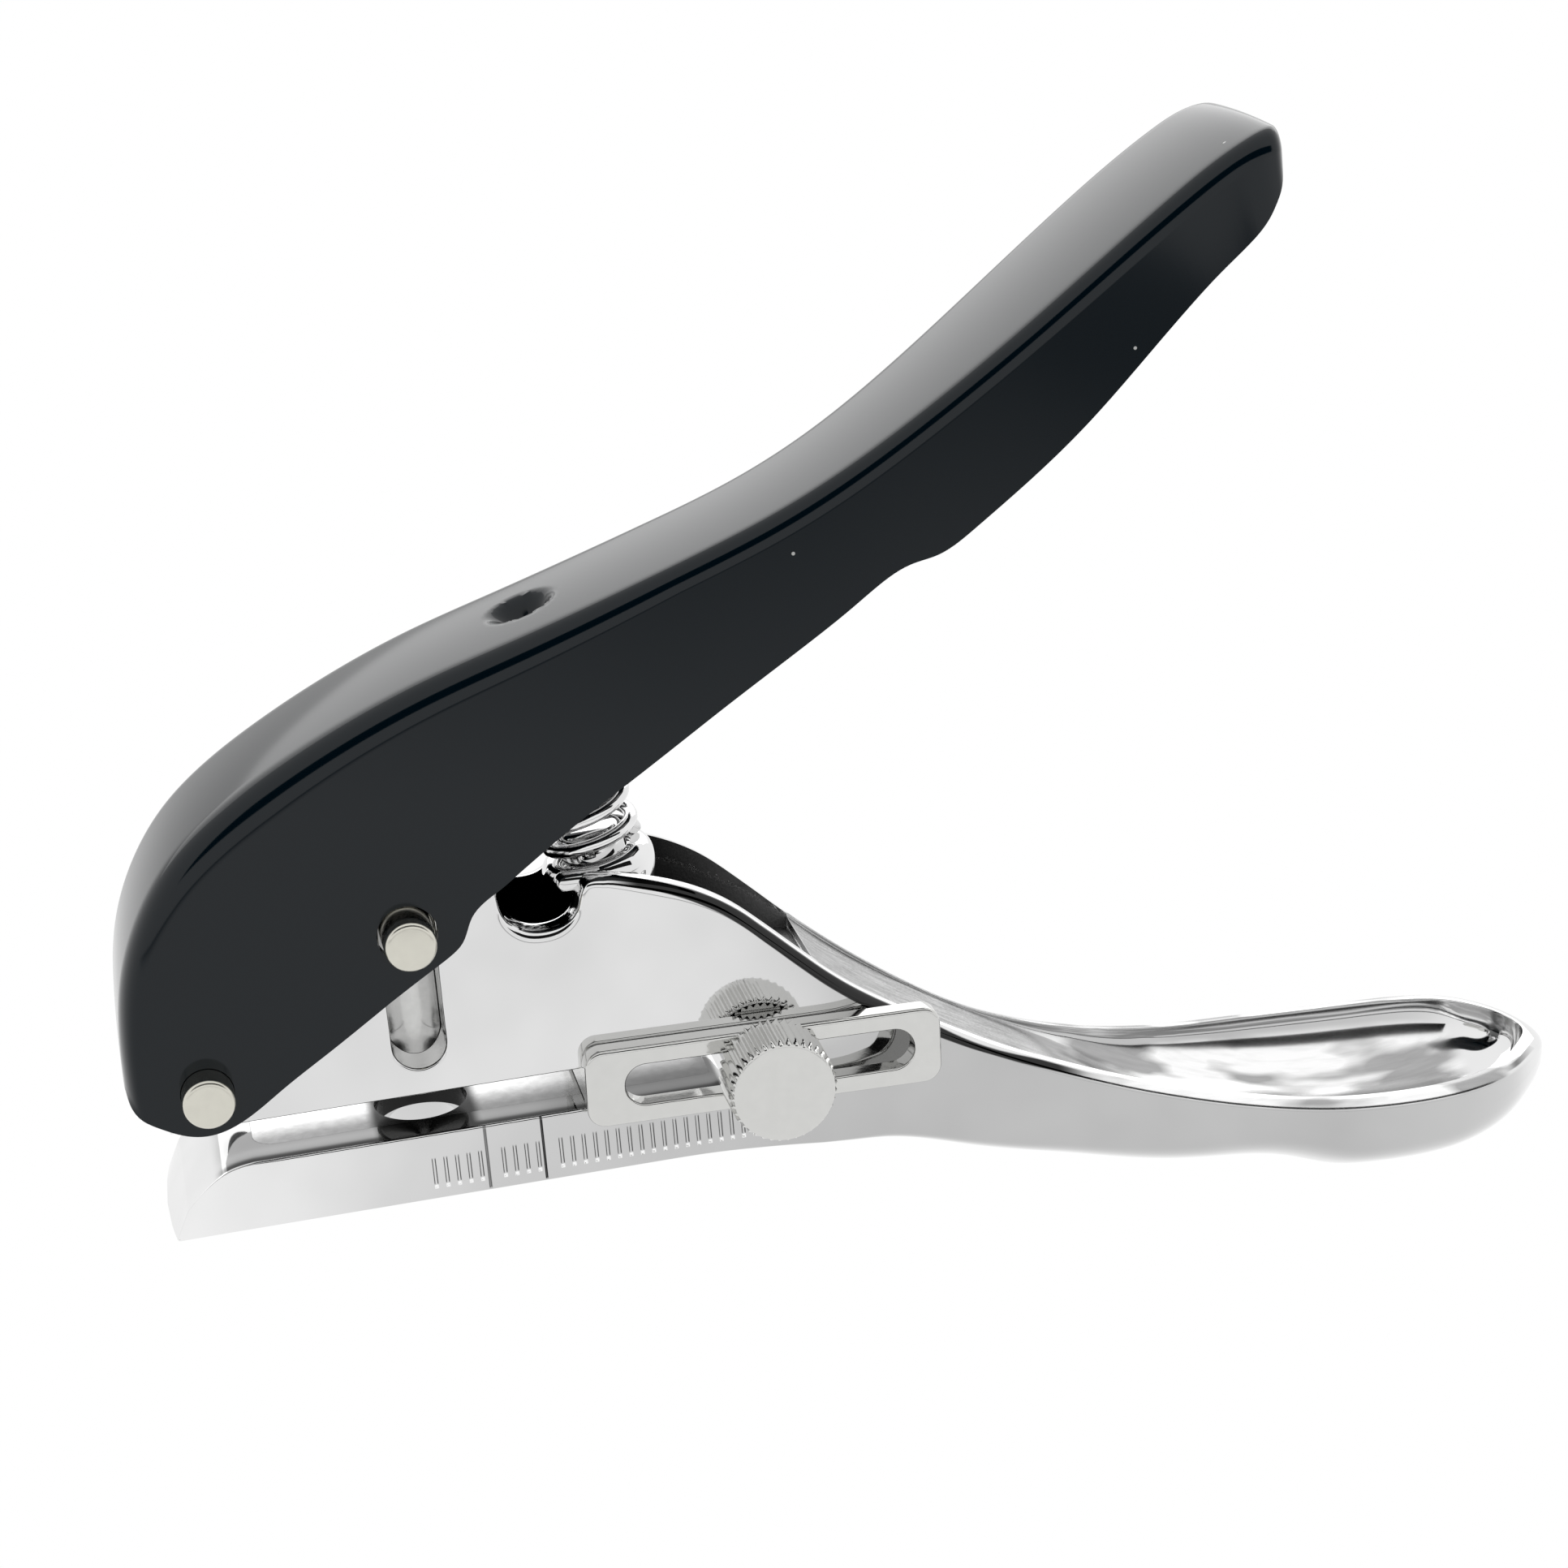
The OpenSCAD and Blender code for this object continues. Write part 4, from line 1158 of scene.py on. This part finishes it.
def jaw_top_reflections(at):
    """Top of the jaw beside the die: painted reflections in bands along it, black near both edges, and
    painted shade that darkens it to the rear.
    """
    share = rise(at.up, 0.75, 0.9) * fall(at.x, 30, 33) * rise(at.z, -3.3, -3.0) * fall(at.z, 1.2, 1.5)
    reflection_bands = curve(at.wide, [(0, 0.5), (4.2, 0.45), (5.2, 0.52), (5.8, 0.48), (6.3, 0.26), (6.6, 0.08),
                            (6.9, 0.03), (7.12, 0.05), (7.24, 0.8), (8, 0.9)])
    # painted reflections across the top, and painted shade along it
    return share, reflection_bands * curve(at.x, [(-25, 1.0), (0, 1.0), (8, 0.85), (15, 0.5), (33, 0.5)])


def spoon_bowl(at):
    """The spoon's bowl, cloudy along the grip."""
    patches = speckled(at.place, 1.0, 2.5, stretch=(0.09, 0.3, 0.2), roughness=0.45)
    share = at.upward * rise(at.x, 56, 61) * fall(at.x, 97, 99)
    return share, remap(patches, 0.42, 0.56, 0.42, 1.0) * remap(at.streak, 0.3, 0.7, 0.92, 1.05)


def bore_skin(at):
    """The inside of the punch's bore, bright."""
    return fall(distance(at.x, at.y), 4.1, 4.15) * fall(at.z, 8.2, 8.6) * rise(at.z, 0.9, 1.1), 0.8


def bore_mirrored(at, top_share):
    """The dark bore above, as the jaw's top mirrors it."""
    return top_share * fall(abs(at.x), 3.7, 4.8), 0.02


def ruler_tones(at):
    """The ruler's marks on the near face: painted shade on the walls and a painted highlight at the foot of
    the short ones, and the two long lines painted dark, the first fainter."""
    near = fall(at.y, -7.3, -7.2) * rise(at.z, -6.2, -6.1) * fall(at.z, 0.2, 0.3)
    off = abs(at.x - reckon("ROUND", at.x))
    row = near * rise(at.x, -0.5, -0.4) * fall(at.x, RULER_END + 0.4, RULER_END + 0.5)
    for mark in LONG_MARKS:
        row = row * rise(abs(at.x - mark), 0.49, 0.5)
    # painted shade on the short marks' walls
    wall_shade = row * rise(off, 0.07, 0.11) * fall(off, 0.15, 0.2)
    wall_shade = wall_shade * rise(at.z, -4.75, -4.65) * fall(at.z, -2.35, -2.15)
    # painted highlight at the foot of each short mark
    foot = row * fall(off, 0.13, 0.2) * rise(at.z, -5.15, -5.05) * fall(at.z, -4.85, -4.75)
    shade_and_highlights = [(wall_shade * 0.75, 0.08), (foot, 0.95)]
    for mark, half, strength in zip(LONG_MARKS.values(), (0.1, 0.07), (0.55, 0.9)):
        line = near * fall(abs(at.x - mark), half, half + 0.08) * rise(at.z, -5.95, -5.8)
        shade_and_highlights.append((line * strength, 0.03))
    return shade_and_highlights


def chrome_casting():
    """Chrome on the casting: bright outside with painted reflections on its sides, rims and jaw top, bare
    with painted shade in the spring's well, and a matt grained floor in the grip's channel that fades into
    the polished spoon.
    Each tone lies over the last one by its share."""
    finish, tree, shader = material("frame chrome", Metallic=1.0)
    at = CastingPlace(tree)
    # well holds the well's painted shade and its rough bare skin; top holds the jaw top's painted reflections
    channel, well, top, bowl = channel_floor(at), shaded_bare_well(at), jaw_top_reflections(at), spoon_bowl(at)
    tone = painted_side_reflections(at)
    for share, over in (rim_dark_reflection(at), channel, well, top, bowl, bore_skin(at), bore_mirrored(at, top[0]),
                        *ruler_tones(at)):
        tone = blend(share, tone, over)
    feed(grey(tone), shader.inputs["Base Color"])
    rough = blend(bowl[0], blend(channel[0], 0.045, 0.42), 0.2)
    feed(blend(well[0], rough, 0.5), shader.inputs["Roughness"])
    bump((at.grain - 0.5) * reckon("MAXIMUM", channel[0], well[0]), 0.6, 0.00004, shader)
    return finish


def enamel():
    """Gloss black enamel with a few tiny pale chips: in about one of four of the 9 mm cells whose
    middle lies in the skin."""
    finish, tree, shader = material("black enamel", Roughness=0.1, IOR=1.39)
    cells = node(tree, "ShaderNodeTexVoronoi", Scale=110, Detail=0)
    feed(on_object(tree), cells.inputs["Vector"])
    pick = node(tree, "ShaderNodeSeparateColor")
    tree.links.new(cells.outputs["Color"], pick.inputs[0])
    chosen, away = Value(tree, pick.outputs[0]), Value(tree, cells.outputs["Distance"])
    chip = rise(chosen, 0.72, 0.74) * fall(away, 0.013, 0.02)
    black, pale = (0.0, 0.005, 0.0095, 1), (0.75, 0.76, 0.74, 1)
    feed(between_colours(chip, black, pale), shader.inputs["Base Color"])
    return finish


def die_steel():
    """Ground steel of the die plate, painted lighter towards the nose as light and shade, and painted dark
    round its hole as a reflection of the bore above.
    """
    finish, tree, shader = material("die steel", Metallic=1.0, Roughness=0.16)
    jaw = use(JAW_PLACE, tree, Object=on_object(tree))
    x, y = jaw["X"], jaw["Y"]
    tone = remap(speckled(jaw["Place"], 1.2, 3.0), 0.3, 0.7, 0.9, 1.1)
    tone = tone * curve(abs(y), [(0, 0.5), (2, 0.45), (3.5, 0.3), (5, 0.36)])
    # painted light and shade: bright at the nose, darker towards the rear under the head
    tone = tone * curve(x, [(-15, 1.7), (0, 1.35), (8, 1.15), (14, 0.75), (26, 0.6)], 2.0)
    # painted reflection of the dark bore, round the hole
    ring = rise(distance(x, y), 3.9, 4.05) * fall(abs(x), 4.0, 5.2)
    feed(grey(blend(ring, tone, 0.025)), shader.inputs["Base Color"])
    return finish


CHROME = chrome_casting()
STEEL = metal("ground steel", (0.62, 0.62, 0.61), 0.22, 0.1, 0.15)
DIE = die_steel()
PIN = metal("pin nickel", (0.67, 0.655, 0.585), 0.2, 0.05, 0.05)
NICKEL = metal("satin nickel", (0.64, 0.64, 0.625), 0.09, 0.03, 0.05)
SPRING = metal("spring chrome", (0.8, 0.8, 0.8), 0.1, 0.05)
ENAMEL = enamel()

# Pieces
place(make_frame(), "frame", CHROME, "frame")
place(make_lever(), "lever", ENAMEL, "lever")
place(cross_pin("front_pin", *FRONT_PIN), "pivot", PIN, "pivot_pin")
place(cross_pin("punch_pin", *PUNCH_PIN), "punch", PIN, "drive_pin")
spring = place(return_spring(), "frame", SPRING, "return_spring")
place(gauge(), "gauge", NICKEL, "gauge_plate")
place(knob(), "screw", NICKEL, "thumb_screw")
for part, finish in (("die_plate", DIE), ("punch", STEEL)):
    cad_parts[part].data.materials.clear()
    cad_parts[part].data.materials.append(finish)
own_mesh(spring)

make_camera()
make_stage()
floor_shade()
card("front_flag", [(-1.6, -0.95, 0.58), (1.6, -0.95, 0.58), (1.6, -0.95, 1.5), (-1.6, -0.95, 1.5)], 0.01)
card("back_softbox", [(-1.4, 1.2, 0.3), (1.2, 1.2, 0.3), (1.2, 1.0, 1.1), (-1.4, 1.0, 1.1)], 1.9)
